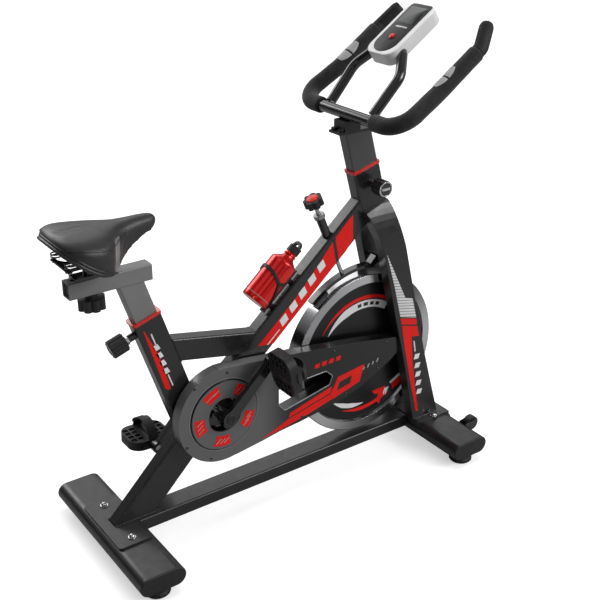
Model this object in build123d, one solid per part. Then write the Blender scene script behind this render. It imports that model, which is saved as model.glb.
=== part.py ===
from build123d import *
import math
import os

# Indoor spin bike, millimetres, +Z up, +X forward, +Y to the rider's left.
# The origin is on the floor under the middle of the bounding box. While modelling, x is
# measured from the rear stabiliser's centre line; save() moves each piece by X_MID.
# Side-view points are (x, z). A bar is placed by a point on its axis and its direction.

X_MID = 469.75
RIGHT, LEFT = -1, 1
SIDES = (RIGHT, LEFT)

# ------------------------------------------------------------ driving sizes
STAB_L = 456.0                               # stabiliser length, caps included
STAB_W = 115.0
STAB_H = 48.0
STAB_Z0 = 26.0
STAB_WALL = 2.0
REAR_X = 0.0
FRONT_X = 936.0
CAP_T = 4.0
PLATE_T = 5.0
DECK_Z = STAB_Z0 + STAB_H + PLATE_T          # top of both mount plates

TUBE_HALF = 19.0                             # half the width of most frame tubes
WALL = 2.0
CRANK_AXIS = (273.0, 305.5)
AXLE = (728.0, 318.0)                        # flywheel axis
STRUT_P = (20.75, 62.25)
STRUT_D = (1.0, 1.0)
STRUT_DEPTH = 77.0
SEAT_TOP = (107.2, 588.4)
SEAT_D = (-0.305, 0.952)                     # seat tube, up
SEAT_DEPTH = 71.0
SEAT_TUBE_L = 301.0
HEAD_TOP = (720.6, 824.5)
HEAD_BOT = (746.5, 726.5)
HEAD_D = (-0.257, 0.966)                     # head tube, up
HEAD_DEPTH = 80.0
MAIN_P = (520.0, 544.0)
MAIN_D = (0.752, 0.659)                      # main tube, up and forward
MAIN_DEPTH = 67.0
MAIN_HALF = TUBE_HALF + 0.5
BRAKE_TOP = (573.5, 766.0)
BRAKE_D = (-0.390, 0.921)                    # brake rod, up
BRAKE_PIVOT = (772.0, 575.0)
BAR_PIN = (735.0, 785.0)
PIN_R = 4.5                                  # shank of both adjusting pins


# ------------------------------------------------------------------ helpers
def unit(vector):
    length = math.hypot(*vector)
    return (vector[0] / length, vector[1] / length)


def shift(point, vector, amount):
    """The point moved by amount times the vector, which is used at its own length."""
    return (point[0] + vector[0] * amount, point[1] + vector[1] * amount)


def along(point, direction, distance, offset=0.0):
    """The point moved along a direction and offset to the left-hand side of it."""
    dx, dz = unit(direction)
    return (point[0] + dx * distance - dz * offset, point[1] + dz * distance + dx * offset)


def polar(center, radius, angle):
    return (center[0] + radius * math.cos(angle), center[1] + radius * math.sin(angle))


def lift(point, y=0):
    """Side-view point or direction as a 3-D tuple."""
    return (point[0], y, point[1])


def span(side, near, far):
    """The y range between two distances from the middle plane on one side."""
    return sorted((side * near, side * far))


def rect(x0, x1, z0, z1):
    return [(x0, z0), (x1, z0), (x1, z1), (x0, z1)]


def flip(points):
    return [(x, -y, z) for x, y, z in points]


def prism(points, y0, y1):
    """Side-view polygon extruded between two y values."""
    wire = Wire.make_polygon([Vector(x, y0, z) for x, z in points], close=True)
    return extrude(Face(wire), amount=y1 - y0, dir=(0, 1, 0))


def polygon(points):
    """Face from 3-D corner points."""
    return make_face(Polyline(*[Vector(*point) for point in points], close=True))


def box_at(center, *size):
    return Location(center) * Box(*size)


def rod(point, direction, radius, length):
    """Round bar starting at a 3-D point."""
    plane = Plane(origin=point, z_dir=direction)
    return plane * Cylinder(radius, length, align=(Align.CENTER, Align.CENTER, Align.MIN))


def upright(x, y, z, radius, height):
    return rod((x, y, z), (0, 0, 1), radius, height)


def y_plane(center, y):
    """Plane facing +Y, with its own x along X."""
    return Plane(origin=lift(center, y), x_dir=(1, 0, 0), z_dir=(0, 1, 0))


def disc(center, radius, y0, y1):
    """Round bar along Y."""
    bar = Cylinder(radius, y1 - y0, align=(Align.CENTER, Align.CENTER, Align.MIN))
    return y_plane(center, y0) * bar


def bar(point, direction, start, end, depth, half, corner=5.0):
    """Rounded rectangular bar in the side plane: depth in the plane, 2 * half wide."""
    plane = Plane(origin=lift(along(point, direction, start)), x_dir=(0, 1, 0),
                  z_dir=lift(direction))
    return extrude(plane * RectangleRounded(2 * half, depth, corner), amount=end - start)


def tube(point, direction, start, end, depth, half, wall=WALL, corner=5.0):
    """The same bar, hollow and open at both ends."""
    bore = bar(point, direction, start - 1, end + 1, depth - 2 * wall, half - wall,
               max(corner - wall, 1.0))
    return bar(point, direction, start, end, depth, half, corner) - bore


def hull(center_a, radius_a, center_b, radius_b, y0, y1):
    """Two round ends joined by their outer tangents, extruded along Y."""
    heading = math.atan2(center_b[1] - center_a[1], center_b[0] - center_a[0])
    spread = math.acos((radius_a - radius_b) / math.dist(center_a, center_b))
    corners = [
        polar(center_a, radius_a, heading + spread),
        polar(center_b, radius_b, heading + spread),
        polar(center_b, radius_b, heading - spread),
        polar(center_a, radius_a, heading - spread),
    ]
    return (prism(corners, y0, y1) + disc(center_a, radius_a, y0, y1)
            + disc(center_b, radius_b, y0, y1))


def lobed(point, direction, radius, height, count, lobe_r):
    """Hand knob: a disc with finger lobes round its edge."""
    profile = Circle(radius - lobe_r * 0.6)
    for i in range(count):
        x, y = polar((0, 0), radius - lobe_r, 2 * math.pi * i / count)
        profile += Location((x, y, 0)) * Circle(lobe_r)
    return extrude(Plane(origin=point, z_dir=direction) * profile, amount=height)


def bent_path(points, radii):
    """Wire of straight runs joined by tangent arcs, one radius per inner corner."""
    edges = []
    last = Vector(*points[0])
    for i, radius in enumerate(radii, start=1):
        before, corner, after = (Vector(*point) for point in points[i - 1:i + 2])
        back = (before - corner).normalized()
        ahead = (after - corner).normalized()
        angle = math.acos(max(-1, min(1, back.dot(ahead))))
        setback = radius / math.tan(angle / 2)
        inward = (back + ahead).normalized()
        middle = corner + inward * (radius / math.sin(angle / 2) - radius)
        arc_start = corner + back * setback
        arc_end = corner + ahead * setback
        edges.append(Edge.make_line(last, arc_start))
        edges.append(Edge.make_three_point_arc(arc_start, middle, arc_end))
        last = arc_end
    edges.append(Edge.make_line(last, Vector(*points[-1])))
    return Wire(edges)


def bent_bar(points, radii, radius):
    """Round bar swept along a bent path."""
    start = Vector(*points[0])
    heading = (Vector(*points[1]) - start).normalized()
    profile = Plane(origin=start, z_dir=heading) * Circle(radius)
    return sweep(profile, path=bent_path(points, radii))


def one(shape):
    """The largest solid of a boolean result."""
    return sorted(shape.solids(), key=lambda solid: solid.volume)[-1]


def round_edges(shape, edges, radius):
    """Fillet the edges; the shape stays sharp where the kernel can't build the fillet."""
    try:
        return fillet(edges, radius)
    except Exception:
        return shape


def bearings(center, outer_r, bore_r, starts, width=12):
    return [disc(center, outer_r, y, y + width) - disc(center, bore_r, y - 1, y + width + 1)
            for y in starts]


def save(name, shapes):
    """Write every solid of a shape, or of a list of shapes, to one file."""
    shapes = shapes if isinstance(shapes, (list, tuple)) else [shapes]
    solids = [Location((-X_MID, 0, 0)) * solid for shape in shapes for solid in shape.solids()]
    piece = solids[0] if len(solids) == 1 else Compound(children=solids)
    export_step(piece, "parts/" + name + ".step")


# -------------------------------------------------------------- stabilisers
BOLT_Y = 75.0
BOLT_R = 4.0
FOOT_Y = 190.0
FOOT_R = 31.0
FOOT_STEM_R = 5.0
WHEEL_Y = 140.0
WHEEL_PIN_R = 4.0
WHEEL_AXIS = (FRONT_X + 80, 62)
# Wheel bracket outline, (x from the front stabiliser's centre line, z).
WHEEL_ARM = [(48, 42), (52, 70), (88, 74), (90, 52), (76, 46)]
# Foot half section, (radius, height).
FOOT_PROFILE = [(0, 0), (FOOT_R - 3, 0), (FOOT_R, 3), (FOOT_R, 9), (FOOT_R - 5, 14), (15, 17),
                (15, 24.5), (FOOT_STEM_R, 24.5), (FOOT_STEM_R, 44), (0, 44)]


def stab_solid(x, grow=0.0, half=STAB_L / 2):
    """Solid stabiliser section, grown all round."""
    plane = y_plane((x, STAB_Z0 + STAB_H / 2), -half)
    return extrude(plane * SlotOverall(STAB_W + 2 * grow, STAB_H + 2 * grow), amount=2 * half)


def bolt_hole(x, side):
    return upright(x, side * BOLT_Y, 60, BOLT_R + 0.2, 30)


def stabiliser(x):
    half = STAB_L / 2 - CAP_T
    body = stab_solid(x, 0, half) - stab_solid(x, -STAB_WALL, half + 1)
    for side in SIDES:
        body -= upright(x, side * FOOT_Y, 20, FOOT_STEM_R + 0.05, 12)
        body -= bolt_hole(x, side)
    return body


def rear_stabiliser():
    return one(stabiliser(REAR_X))


def front_stabiliser():
    """Tube with a pair of wheel brackets and a wheel pin on each side."""
    body = stabiliser(FRONT_X)
    for side in SIDES:
        wheel_y = side * WHEEL_Y
        for dy in (-14, 11):
            arm = prism([(FRONT_X + x, z) for x, z in WHEEL_ARM],
                        wheel_y + dy, wheel_y + dy + 3)
            body += arm - stab_solid(FRONT_X, -0.5)
        body += disc(WHEEL_AXIS, WHEEL_PIN_R, wheel_y - 14, wheel_y + 14)
    return one(body)


def stabiliser_caps():
    """End discs with a plug reaching into the tube."""
    half = STAB_L / 2
    caps = []
    for x in (REAR_X, FRONT_X):
        face = stab_solid(x, 0, half) - stab_solid(x, 1, half - CAP_T)
        plug = stab_solid(x, -STAB_WALL - 0.15, half - CAP_T) - stab_solid(x, 1, half - 16)
        for side in SIDES:
            end = prism(rect(x - 80, x + 80, 0, 120), *span(side, 100, 240))
            cap = (face & end) + (plug & end)
            rim = [e for e in cap.edges() if abs(abs(e.center().Y) - half) < 0.01]
            caps.append(one(round_edges(cap, rim, 3.0)))
    return caps


def rear_mount_plate():
    """Flat plate on top of the rear stabiliser."""
    plane = Plane(origin=(REAR_X, 0, DECK_Z - PLATE_T))
    plate = extrude(plane * RectangleRounded(88, 200, 8), amount=PLATE_T)
    for side in SIDES:
        plate -= bolt_hole(REAR_X, side)
    return one(plate)


def front_mount_plate():
    """Plate that wraps over the front stabiliser, with a flat deck."""
    seat = stab_solid(FRONT_X, 0.05, 90)
    plate = stab_solid(FRONT_X, PLATE_T, 80) - seat
    plate &= prism(rect(FRONT_X - 90, FRONT_X + 90, 56, 90), -90, 90)
    plate += prism(rect(FRONT_X - 54, FRONT_X + 54, 62, DECK_Z), -80, 80) - seat
    for side in SIDES:
        plate -= bolt_hole(FRONT_X, side)
    return one(plate)


def mount_bolts():
    """Domed, flanged heads on plain shanks."""
    bolts = []
    for x in (REAR_X, FRONT_X):
        for side in SIDES:
            y = side * BOLT_Y
            flange = upright(x, y, DECK_Z, 9.5, 2.0)
            dome = Location((x, y, DECK_Z + 1.5)) * Sphere(7.5)
            dome &= box_at((x, y, DECK_Z + 15), 40, 40, 30)
            bolts.append(one(flange + dome + upright(x, y, 62, BOLT_R, DECK_Z - 61)))
    return bolts


def foot(x, side):
    """Turned foot with notches round its edge."""
    section = make_face(Polyline(*FOOT_PROFILE, close=True))
    body = revolve(Plane.XZ * section, axis=Axis.Z)
    for i in range(16):
        notch_x, notch_y = polar((0, 0), FOOT_R + 1.2, 2 * math.pi * i / 16)
        body -= upright(notch_x, notch_y, -1, 2.6, 20)
    return Location((x, side * FOOT_Y, 0)) * one(body)


def wheel(side):
    """Wheel with a ring-shaped recess in each face."""
    mid = side * WHEEL_Y
    body = disc(WHEEL_AXIS, 20.5, mid - 9, mid + 9)
    body -= disc(WHEEL_AXIS, WHEEL_PIN_R + 0.08, mid - 20, mid + 20)
    for face in SIDES:
        y0, y1 = sorted((mid + face * 9.5, mid + face * 6))
        body -= disc(WHEEL_AXIS, 15, y0, y1) - disc(WHEEL_AXIS, 8, y0, y1)
    return one(body)


# -------------------------------------------------------------------- frame
BASE_HALF = 30.0
BASE_Z0 = 44.0
BRACKET_R = 24.0                             # bottom bracket shell
CRANK_BEARING_R = 20.0
SPINDLE_R = 8.5
AXLE_R = 7.0
FORK_OUT = 60.0                              # outer face of a fork leg, from the middle
FORK_T = 30.0
POST_HALF = 16.0                             # half the width of seat and bar posts
SEAT_REAR = (-SEAT_D[1], SEAT_D[0])          # out of the seat tube's rear face
SEAT_PIN = shift(along(SEAT_TOP, SEAT_D, -27), SEAT_REAR, SEAT_DEPTH / 2)
TOP_P = (271.0, 472.5)
TOP_D = (0.979, -0.202)

# Fork outline: up its front edge, then down its rear edge.
FORK_SIDE = [
    (874, DECK_Z), (962, DECK_Z), (930, 189), (901, 291), (869, 420), (846, 512), (821, 614),
    (785.3, 736.8), (708, 716.2), (727, 677), (742, 640), (776, 502), (797, 411), (822, 315),
    (845, 216), (864, 121),
]
# Hollow inside each fork leg, the same way round.
FORK_HOLLOW = [
    (886, DECK_Z - 1), (950, DECK_Z - 1), (889, 291), (834, 512), (814, 590), (762, 590),
    (788, 502), (809, 411), (834, 315), (857, 216), (876, 121),
]

# The strut's axis passes 9 mm above the crank axis.
STRUT_END = math.dist((CRANK_AXIS[0], CRANK_AXIS[1] + 9), STRUT_P) + 6

# Solid envelopes that trim the neighbouring pieces.
bracket_env = disc(CRANK_AXIS, BRACKET_R, -40, 40)
strut_env = bar(STRUT_P, STRUT_D, -60, STRUT_END, STRUT_DEPTH, TUBE_HALF)
seat_env = bar(SEAT_TOP, SEAT_D, -SEAT_TUBE_L, 0, SEAT_DEPTH, TUBE_HALF + 0.5)
head_env = bar(HEAD_BOT, HEAD_D, -0.02, 100, HEAD_DEPTH, TUBE_HALF + 1)
fork_env = prism(FORK_SIDE, -TUBE_HALF - 1.5, TUBE_HALF + 1.5)
main_env = bar(MAIN_P, MAIN_D, -330, 300, MAIN_DEPTH, MAIN_HALF)
bar_post_way = bar(HEAD_BOT, HEAD_D, -150, 5, 76.4, POST_HALF + 0.7, 3)


def seat_pin_rod(start, radius, length):
    """Round bar on the seat pin's axis, start measured out from the tube's rear face."""
    return rod(lift(shift(SEAT_PIN, SEAT_REAR, start)), lift(SEAT_REAR), radius, length)


def brake_bar(start, radius, length):
    """Round bar on the brake rod's axis, start measured up from BRAKE_TOP."""
    return rod(lift(along(BRAKE_TOP, BRAKE_D, start)), lift(BRAKE_D), radius, length)


def rear_strut():
    strut = tube(STRUT_P, STRUT_D, -60, STRUT_END, STRUT_DEPTH, TUBE_HALF)
    return one(strut - prism(rect(-200, 1100, -50, DECK_Z), -200, 200) - bracket_env)


def base_tube():
    body = tube((0, (BASE_Z0 + DECK_Z) / 2), (1, 0), 45, FRONT_X - 60, DECK_Z - BASE_Z0,
                BASE_HALF)
    return one(body - stab_solid(REAR_X, 0.02) - stab_solid(FRONT_X, PLATE_T + 0.05))


def seat_tube():
    """Seat tube with the pin boss on its rear face."""
    body = tube(SEAT_TOP, SEAT_D, -SEAT_TUBE_L, 0, SEAT_DEPTH, TUBE_HALF, 3.0)
    body = one(body - strut_env - bracket_env)
    return one(body + seat_pin_rod(-1.5, 9.0, 23.5) - seat_pin_rod(-12, PIN_R + 0.05, 40))


def main_tube():
    body = tube(MAIN_P, MAIN_D, -330, 300, MAIN_DEPTH, MAIN_HALF)
    body = body - strut_env - bracket_env - head_env - fork_env
    body = one(body & prism(rect(250, 760, 250, 800), -40, 40))
    return one(body - brake_bar(-260, 6.5, 220) - bar_post_way)


def top_tube():
    body = tube(TOP_P, TOP_D, -120, 220, 57, TUBE_HALF) - seat_env - main_env
    return one(body & prism(rect(110, 470, 380, 560), -40, 40))


def head_tube():
    """Head tube with the pin boss on its right face."""
    body = tube(HEAD_BOT, HEAD_D, 0, 101.3, HEAD_DEPTH, TUBE_HALF, 2.3)
    body += disc(BAR_PIN, 9.0, -TUBE_HALF - 15, -TUBE_HALF + 0.3)
    body -= disc(BAR_PIN, PIN_R + 0.05, -44, -TUBE_HALF + 4)
    return one(body)


def half_arch(side, out, rise, spring_z=600.0):
    """Front-view points at x = 0, from below the floor up to the crown."""
    points = [(0, side * out, -80.0), (0, side * out, spring_z)]
    for i in range(1, 13):
        angle = math.pi / 2 * i / 12
        points.append((0, side * out * math.cos(angle), spring_z + rise * math.sin(angle)))
    return points


def fork(side):
    """One half of the fork: an arched leg, tapered in side view, with an axle plate."""
    outline = half_arch(side, FORK_OUT, 150.0) + half_arch(side, FORK_OUT - FORK_T, 78.0)[::-1]
    arch = extrude(polygon(outline), amount=1100, dir=(1, 0, 0))
    leg = one((arch & prism(FORK_SIDE, -70, 70)) - bar_post_way - head_env)
    leg -= prism(FORK_HOLLOW, *span(side, FORK_OUT - 3, FORK_OUT - FORK_T + 3))
    y0, y1 = span(side, 42.0, 46.0)
    plate = hull(AXLE, 18, (812, 327), 20, y0, y1)
    plate += prism([(800, 345), (850, 345), (856, 308), (800, 308)], y0, y1)
    plate &= prism([(690, 270), (830, 270), (825, 380), (690, 380)], -70, 70)
    leg = leg + plate - disc(AXLE, AXLE_R + 0.1, -70, 70)
    if side == LEFT:
        leg += disc(BRAKE_PIVOT, 5.0, -29.9, 31)   # pivot pin across the gap
    return one(leg)


def tube_collars():
    """Rings on top of the seat and head tubes."""
    collars = []
    for point, direction, depth, inner_depth in ((SEAT_TOP, SEAT_D, SEAT_DEPTH, 59.0),
                                                 (HEAD_TOP, HEAD_D, HEAD_DEPTH, 76.0)):
        ring = bar(point, direction, 0.05, 7, depth + 4, TUBE_HALF + 2, 6)
        ring -= bar(point, direction, -1, 10, inner_depth, POST_HALF + 0.5, 3)
        collars.append(one(ring))
    return collars


def bottom_bracket():
    shell = disc(CRANK_AXIS, BRACKET_R, -28, 36) - disc(CRANK_AXIS, CRANK_BEARING_R, -45, 45)
    return one(shell)


def crank_bearings():
    return bearings(CRANK_AXIS, CRANK_BEARING_R, SPINDLE_R + 0.05, (-28, 24))


# ----------------------------------------------------------------- flywheel
FLY_R = 224.0
FLY_HALF = 22.0
HUB_HALF = 27.0
HUB_BORE_R = 16.0
PINION_R = 24.0
AXLE_HALF = 52.0
NUT_T = 6.0
# Flywheel section, (radius, y).
FLY_PROFILE = [
    (30, -9), (150, -9), (194, -12), (200, -FLY_HALF), (FLY_R - 2, -FLY_HALF),
    (FLY_R, 2 - FLY_HALF), (FLY_R, FLY_HALF - 2), (FLY_R - 2, FLY_HALF), (200, FLY_HALF),
    (194, 12), (150, 9), (30, 9), (26, 16), (26, HUB_HALF), (HUB_BORE_R, HUB_HALF),
    (HUB_BORE_R, -HUB_HALF), (26, -HUB_HALF), (26, -16),
]


def flywheel():
    section = polygon([(AXLE[0] + radius, y, AXLE[1]) for radius, y in FLY_PROFILE])
    return one(revolve(section, axis=Axis(lift(AXLE), (0, 1, 0))))


def flywheel_bearings():
    return bearings(AXLE, HUB_BORE_R, AXLE_R + 0.05, (-HUB_HALF, HUB_HALF - 12))


def flywheel_pulley():
    """Pinion with a shoulder towards the hub and a thin flange on its right face."""
    bore = disc(AXLE, 11, -50, -20)
    pinion = disc(AXLE, PINION_R, -41, -29) + disc(AXLE, 17, -30, -HUB_HALF) - bore
    return one(pinion + (disc(AXLE, PINION_R + 4, -41, -40.1) - bore))


def flywheel_axle():
    body = disc(AXLE, AXLE_R, -AXLE_HALF, AXLE_HALF)
    body += disc(AXLE, 9.5, -42, -HUB_HALF - 0.3) + disc(AXLE, 9.5, HUB_HALF + 0.3, 42)
    return one(body)


def axle_nuts():
    nuts = []
    for y in (-AXLE_HALF, AXLE_HALF - NUT_T):
        nut = extrude(y_plane(AXLE, y) * RegularPolygon(12, 6), amount=NUT_T)
        nuts.append(one(nut - disc(AXLE, AXLE_R, y - 1, y + NUT_T + 1)))
    return nuts


# ---------------------------------------------------------- crank and pedals
CRANK_L = 165.5
CRANK_ANGLE = math.radians(43.5)             # right crank, from +X towards +Z
CRANK_FACE = 85.0                            # outer face of a crank, from the middle
PULLEY_R = 80.0
BELT_T = 3.0
BELT_GAP = 0.1
PEDAL_IN = 92.0
PEDAL_OUT = 184.0
PEDAL_HALF = 55.0
PEDAL_T = 24.0
PEDAL_AXLE_R = 7.0
CRANK_TIP = {side: polar(CRANK_AXIS, -side * CRANK_L, CRANK_ANGLE) for side in SIDES}


def crank_arms():
    arms = []
    for side in SIDES:
        tip = CRANK_TIP[side]
        boss = span(side, CRANK_FACE - 18, CRANK_FACE)
        arm = hull(CRANK_AXIS, 14.5, tip, 11.0, *span(side, CRANK_FACE - 15, CRANK_FACE - 1))
        arm += disc(CRANK_AXIS, 20, *boss) + disc(tip, 14.5, *boss)
        arm -= disc(CRANK_AXIS, SPINDLE_R, -100, 100)
        arm -= disc(tip, PEDAL_AXLE_R, -100, 100)
        arms.append(one(arm))
    return arms


def crank_spindle():
    return disc(CRANK_AXIS, SPINDLE_R, -82, 82)


def drive_pulley():
    """Disc with five holes, and a three-lobed hub on its right face."""
    bore = disc(CRANK_AXIS, SPINDLE_R, -70, 0)
    pulley = disc(CRANK_AXIS, PULLEY_R, -41, -29) - bore
    for i in range(5):
        pulley -= disc(polar(CRANK_AXIS, 50, 2 * math.pi * i / 5 + 0.3), 13, -42, -28)
    hub = disc(CRANK_AXIS, 17, -66, -41)
    for i in range(3):
        center = polar(CRANK_AXIS, 27, 2 * math.pi * i / 3 + CRANK_ANGLE)
        hub += hull(CRANK_AXIS, 14, center, 12, -60, -41)
        hub -= disc(center, 4.5, -62, -56)
    return one(pulley + hub - bore)


def belt_loop(grow, y0, y1):
    return hull(CRANK_AXIS, PULLEY_R + grow, AXLE, PINION_R + grow, y0, y1)


def drive_belt():
    return one(belt_loop(BELT_GAP + BELT_T, -40, -30) - belt_loop(BELT_GAP, -45, -25))


def pedal(side, turn):
    """Tread and strap, modelled level on the left, then turned about the pedal axle."""
    mid = (PEDAL_IN + PEDAL_OUT) / 2
    width = PEDAL_OUT - PEDAL_IN
    plan = Plane(origin=(0, mid, -PEDAL_T / 2)) * RectangleRounded(2 * PEDAL_HALF, width, 30)
    slab = extrude(plan, amount=PEDAL_T)
    for x in (-43, -25, 25, 43):
        for y in (112, 129, 146, 163):
            slab -= box_at((x, y, PEDAL_T / 2), 14, 13, 9)
            slab -= box_at((x, y, -PEDAL_T / 2), 14, 13, 9)
    core = disc((0, 0), 15, PEDAL_IN - 1, PEDAL_OUT)
    body = slab + core - disc((0, 0), PEDAL_AXLE_R + 0.06, 60, PEDAL_OUT - 8)

    # Strap: the top of an elliptical band over the tread.
    plane = Plane(origin=(-12, 0, 13.5), x_dir=(0, 1, 0), z_dir=(1, 0, 0))
    reach = width / 2 + 5
    outer = plane * (Location((mid, -12, 0)) * Ellipse(reach, 62))
    inner = plane * (Location((mid, -12, 0)) * Ellipse(reach - 3, 59))
    band = extrude(outer - inner, amount=26)
    band &= box_at((0, mid, 49), 80, 200, 80)
    band = band - slab - core

    placed = []
    for shape in (one(body), one(band)):
        if side == RIGHT:
            shape = mirror(shape, about=Plane.XZ)
        placed.append(Location(lift(CRANK_TIP[side])) * (Rot(0, turn, 0) * shape))
    return placed


def pedal_axles():
    return [disc(CRANK_TIP[side], PEDAL_AXLE_R, *span(side, CRANK_FACE - 17, PEDAL_OUT - 9))
            for side in SIDES]


# ------------------------------------------------- belt cover, on the right
COVER_FACE = 55.0
COVER_BACK = 24.0
COVER_BACK_T = 2.0
COVER_WALL = 2.5
COVER_R = 125.0                              # round end about the crank
SHELL_Y1 = -COVER_BACK - COVER_BACK_T - 0.02  # open edge of the outer shell
# Cover outline: forward along the top, back along the bottom.
COVER_OUTLINE = [
    (262, 430), (348, 422), (420, 413), (494, 405), (586, 391), (682, 378), (793, 358),
    (809, 355), (818, 318), (790, 296), (740, 268), (686, 243), (637, 229), (588, 220),
    (493, 207), (432, 201), (378, 192), (300, 181.5),
]
# Opening between the crank and the flywheel axle.
COVER_SLOT = [(430, 322), (430, 280), (448, 258), (584, 285), (594, 307), (574, 326)]
# Region cut off the front end of both halves.
COVER_END = [(812, 250), (845, 250), (845, 380), (799, 380), (806, 340)]


def cover_solid(y0, y1):
    return one(prism(COVER_OUTLINE, y0, y1)
               + disc((CRANK_AXIS[0], CRANK_AXIS[1] - 1), COVER_R, y0, y1))


def slot_solid(grow, y0, y1):
    """The slot scaled about the mean of its corners."""
    center_x = sum(x for x, z in COVER_SLOT) / len(COVER_SLOT)
    center_z = sum(z for x, z in COVER_SLOT) / len(COVER_SLOT)
    scale_x, scale_z = 1 + grow / 75.0, 1 + grow / 30.0
    return prism([(center_x + (x - center_x) * scale_x, center_z + (z - center_z) * scale_z)
                  for x, z in COVER_SLOT], y0, y1)


def cover_outer():
    cover = cover_solid(-COVER_FACE, SHELL_Y1)
    rim = [e for e in cover.edges() if abs(e.center().Y + COVER_FACE) < 0.01]
    cover = round_edges(cover, rim, 4.0)

    y0, y1 = -COVER_FACE + COVER_WALL, -COVER_BACK + 1
    face = [f for f in cover_solid(y0, y1).faces() if abs(f.center().Y - y0) < 0.01][0]
    inset = offset(face, amount=-COVER_WALL, kind=Kind.INTERSECTION).faces()[0]
    hollow = extrude(inset, amount=y1 - y0, dir=(0, 1, 0))
    cover = cover - hollow

    cover += disc(CRANK_AXIS, 92.0, -COVER_FACE - 3, -COVER_FACE + 0.5)   # raised ring
    cover += slot_solid(2.5, -COVER_FACE, SHELL_Y1)
    cover -= slot_solid(0, -70, 0)
    cover -= disc(CRANK_AXIS, 45.0, -70, 0)
    cover -= prism(COVER_END, -70, -20)
    # Room for the flywheel axle, its plate and the fork leg.
    cover -= prism(rect(700, 840, 268, 378), y0, -20) & hollow
    cover -= hull((790, 326), 24, (835, 328), 24, -47.2, -40.8)
    cover -= prism([(x - 1.5, z) for x, z in FORK_SIDE], -FORK_OUT - 1, -FORK_OUT + FORK_T + 1)
    return one(cover)


def cover_inner():
    back = cover_solid(-COVER_BACK - COVER_BACK_T, -COVER_BACK)
    back -= slot_solid(0.02, -70, 0)
    back -= disc(CRANK_AXIS, 36.5, -70, 0) + disc(AXLE, 30, -70, 0)
    return one(back - prism(COVER_END, -70, -20))


# --------------------------------------------------------------------- seat
SLIDE_Z0 = 682.0
SLIDE_Z1 = 720.0
SLIDE_X0 = -68.0
SLIDE_L = 195.0
KNOB_X = -13.0
KNOB_STUD_R = 5.5
RAIL_Z = SLIDE_Z1 + 32
RAIL_R = 4.0
# Saddle base, side view (x, z) and plan (x, y, z).
BASE_SIDE = [(-72, 785), (60, 799), (135, 803), (135, 796), (60, 789), (-68, 777)]
BASE_PLAN = [(x, y, 760) for x, y in (
    (-72, -60), (0, -56), (50, -24), (134, -13), (134, 13), (50, 24), (0, 56), (-72, 60))]
# Cushion: half plan (x, y), side view (x, z), cross-section (y, z).
CUSHION_PLAN = [
    (-97, 0), (-96, 40), (-90, 68), (-72, 90), (-40, 99), (-8, 95), (18, 80), (40, 54),
    (60, 36), (95, 25), (135, 20), (149, 12), (152, 0),
]
CUSHION_SIDE = [
    (-98, 806), (-88, 818), (-60, 825), (0, 828), (80, 831), (138, 832), (152, 824),
    (153, 808), (130, 804), (100, 797), (85, 789), (62, 774), (48, 760), (30, 751),
    (-12, 747), (-36, 750), (-62, 768), (-92, 790),
]
CUSHION_CROWN = [
    (-100, 740), (-100, 796), (-84, 812), (-50, 825), (-20, 833), (20, 833), (50, 825),
    (84, 812), (100, 796), (100, 740),
]
# Hollow under the cushion, plan (x, y) and side view (x, z).
TUNNEL_PLAN = [(-120, -64), (2, -59), (52, -27), (140, -16),
               (140, 16), (52, 27), (2, 59), (-120, 64)]
TUNNEL_SIDE = [(-130, 700), (200, 700), (200, 806), (140, 805), (60, 801), (-72, 787),
               (-130, 787)]


def seat_post():
    """Sloping post with a slotted level slider tube on top."""
    mid_z = (SLIDE_Z0 + SLIDE_Z1) / 2
    post = tube(SEAT_TOP, SEAT_D, -196, 110, 58, POST_HALF, 2.5, 3)
    post -= prism(rect(-200, 300, SLIDE_Z0, 900), -60, 60)
    slider = tube((SLIDE_X0, mid_z), (1, 0), 0, SLIDE_L, SLIDE_Z1 - SLIDE_Z0, 18, 2.5, 3)
    slider += box_at((SLIDE_X0 + SLIDE_L - 1, 0, mid_z), 2, 34, 36)
    slot = Plane(origin=(KNOB_X + 4, 0, SLIDE_Z0 - 5)) * SlotOverall(96.0, 13)
    slider -= extrude(slot, amount=50)
    return one(post + slider)


def seat_carriage():
    """Foot, stud, neck and rail clamp."""
    body = box_at((KNOB_X, 0, SLIDE_Z1 + 3.7), 78, 34, 7)
    body += upright(KNOB_X, 0, SLIDE_Z0 - 14, KNOB_STUD_R, 60)
    body += upright(KNOB_X, 0, SLIDE_Z1 + 6, 13, 20)
    body += box_at((KNOB_X, 0, RAIL_Z), 34, 56, 18)
    for side in SIDES:
        body -= rod((KNOB_X - 40, side * 20, RAIL_Z), (1, 0, 0), RAIL_R + 0.1, 80)
    return one(body)


def slide_knob():
    body = lobed((KNOB_X, 0, SLIDE_Z0 - 36), (0, 0, 1), 31, 26, 8, 9.5)
    body += upright(KNOB_X, 0, SLIDE_Z0 - 12, 14, 11)
    return one(body - upright(KNOB_X, 0, SLIDE_Z0 - 15, KNOB_STUD_R + 0.05, 20))


def saddle_base():
    """Thin shell with two rails, a rear cross plate and a lug at the nose."""
    body = prism(BASE_SIDE, -60, 60)
    body &= extrude(polygon(BASE_PLAN), amount=60, dir=(0, 0, 1))
    for side in SIDES:
        points = [(-76, side * 36, RAIL_Z + 6), (-54, side * 20, RAIL_Z), (26, side * 20, RAIL_Z),
                  (76, side * 10, RAIL_Z + 30), (120, side * 8, RAIL_Z + 44)]
        body = body + bent_bar(points, [14, 30, 26], RAIL_R)
    return body + box_at((-72, 0, RAIL_Z + 6), 10, 92, 4) + box_at((116, 0, 797.5), 14, 26, 8)


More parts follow.
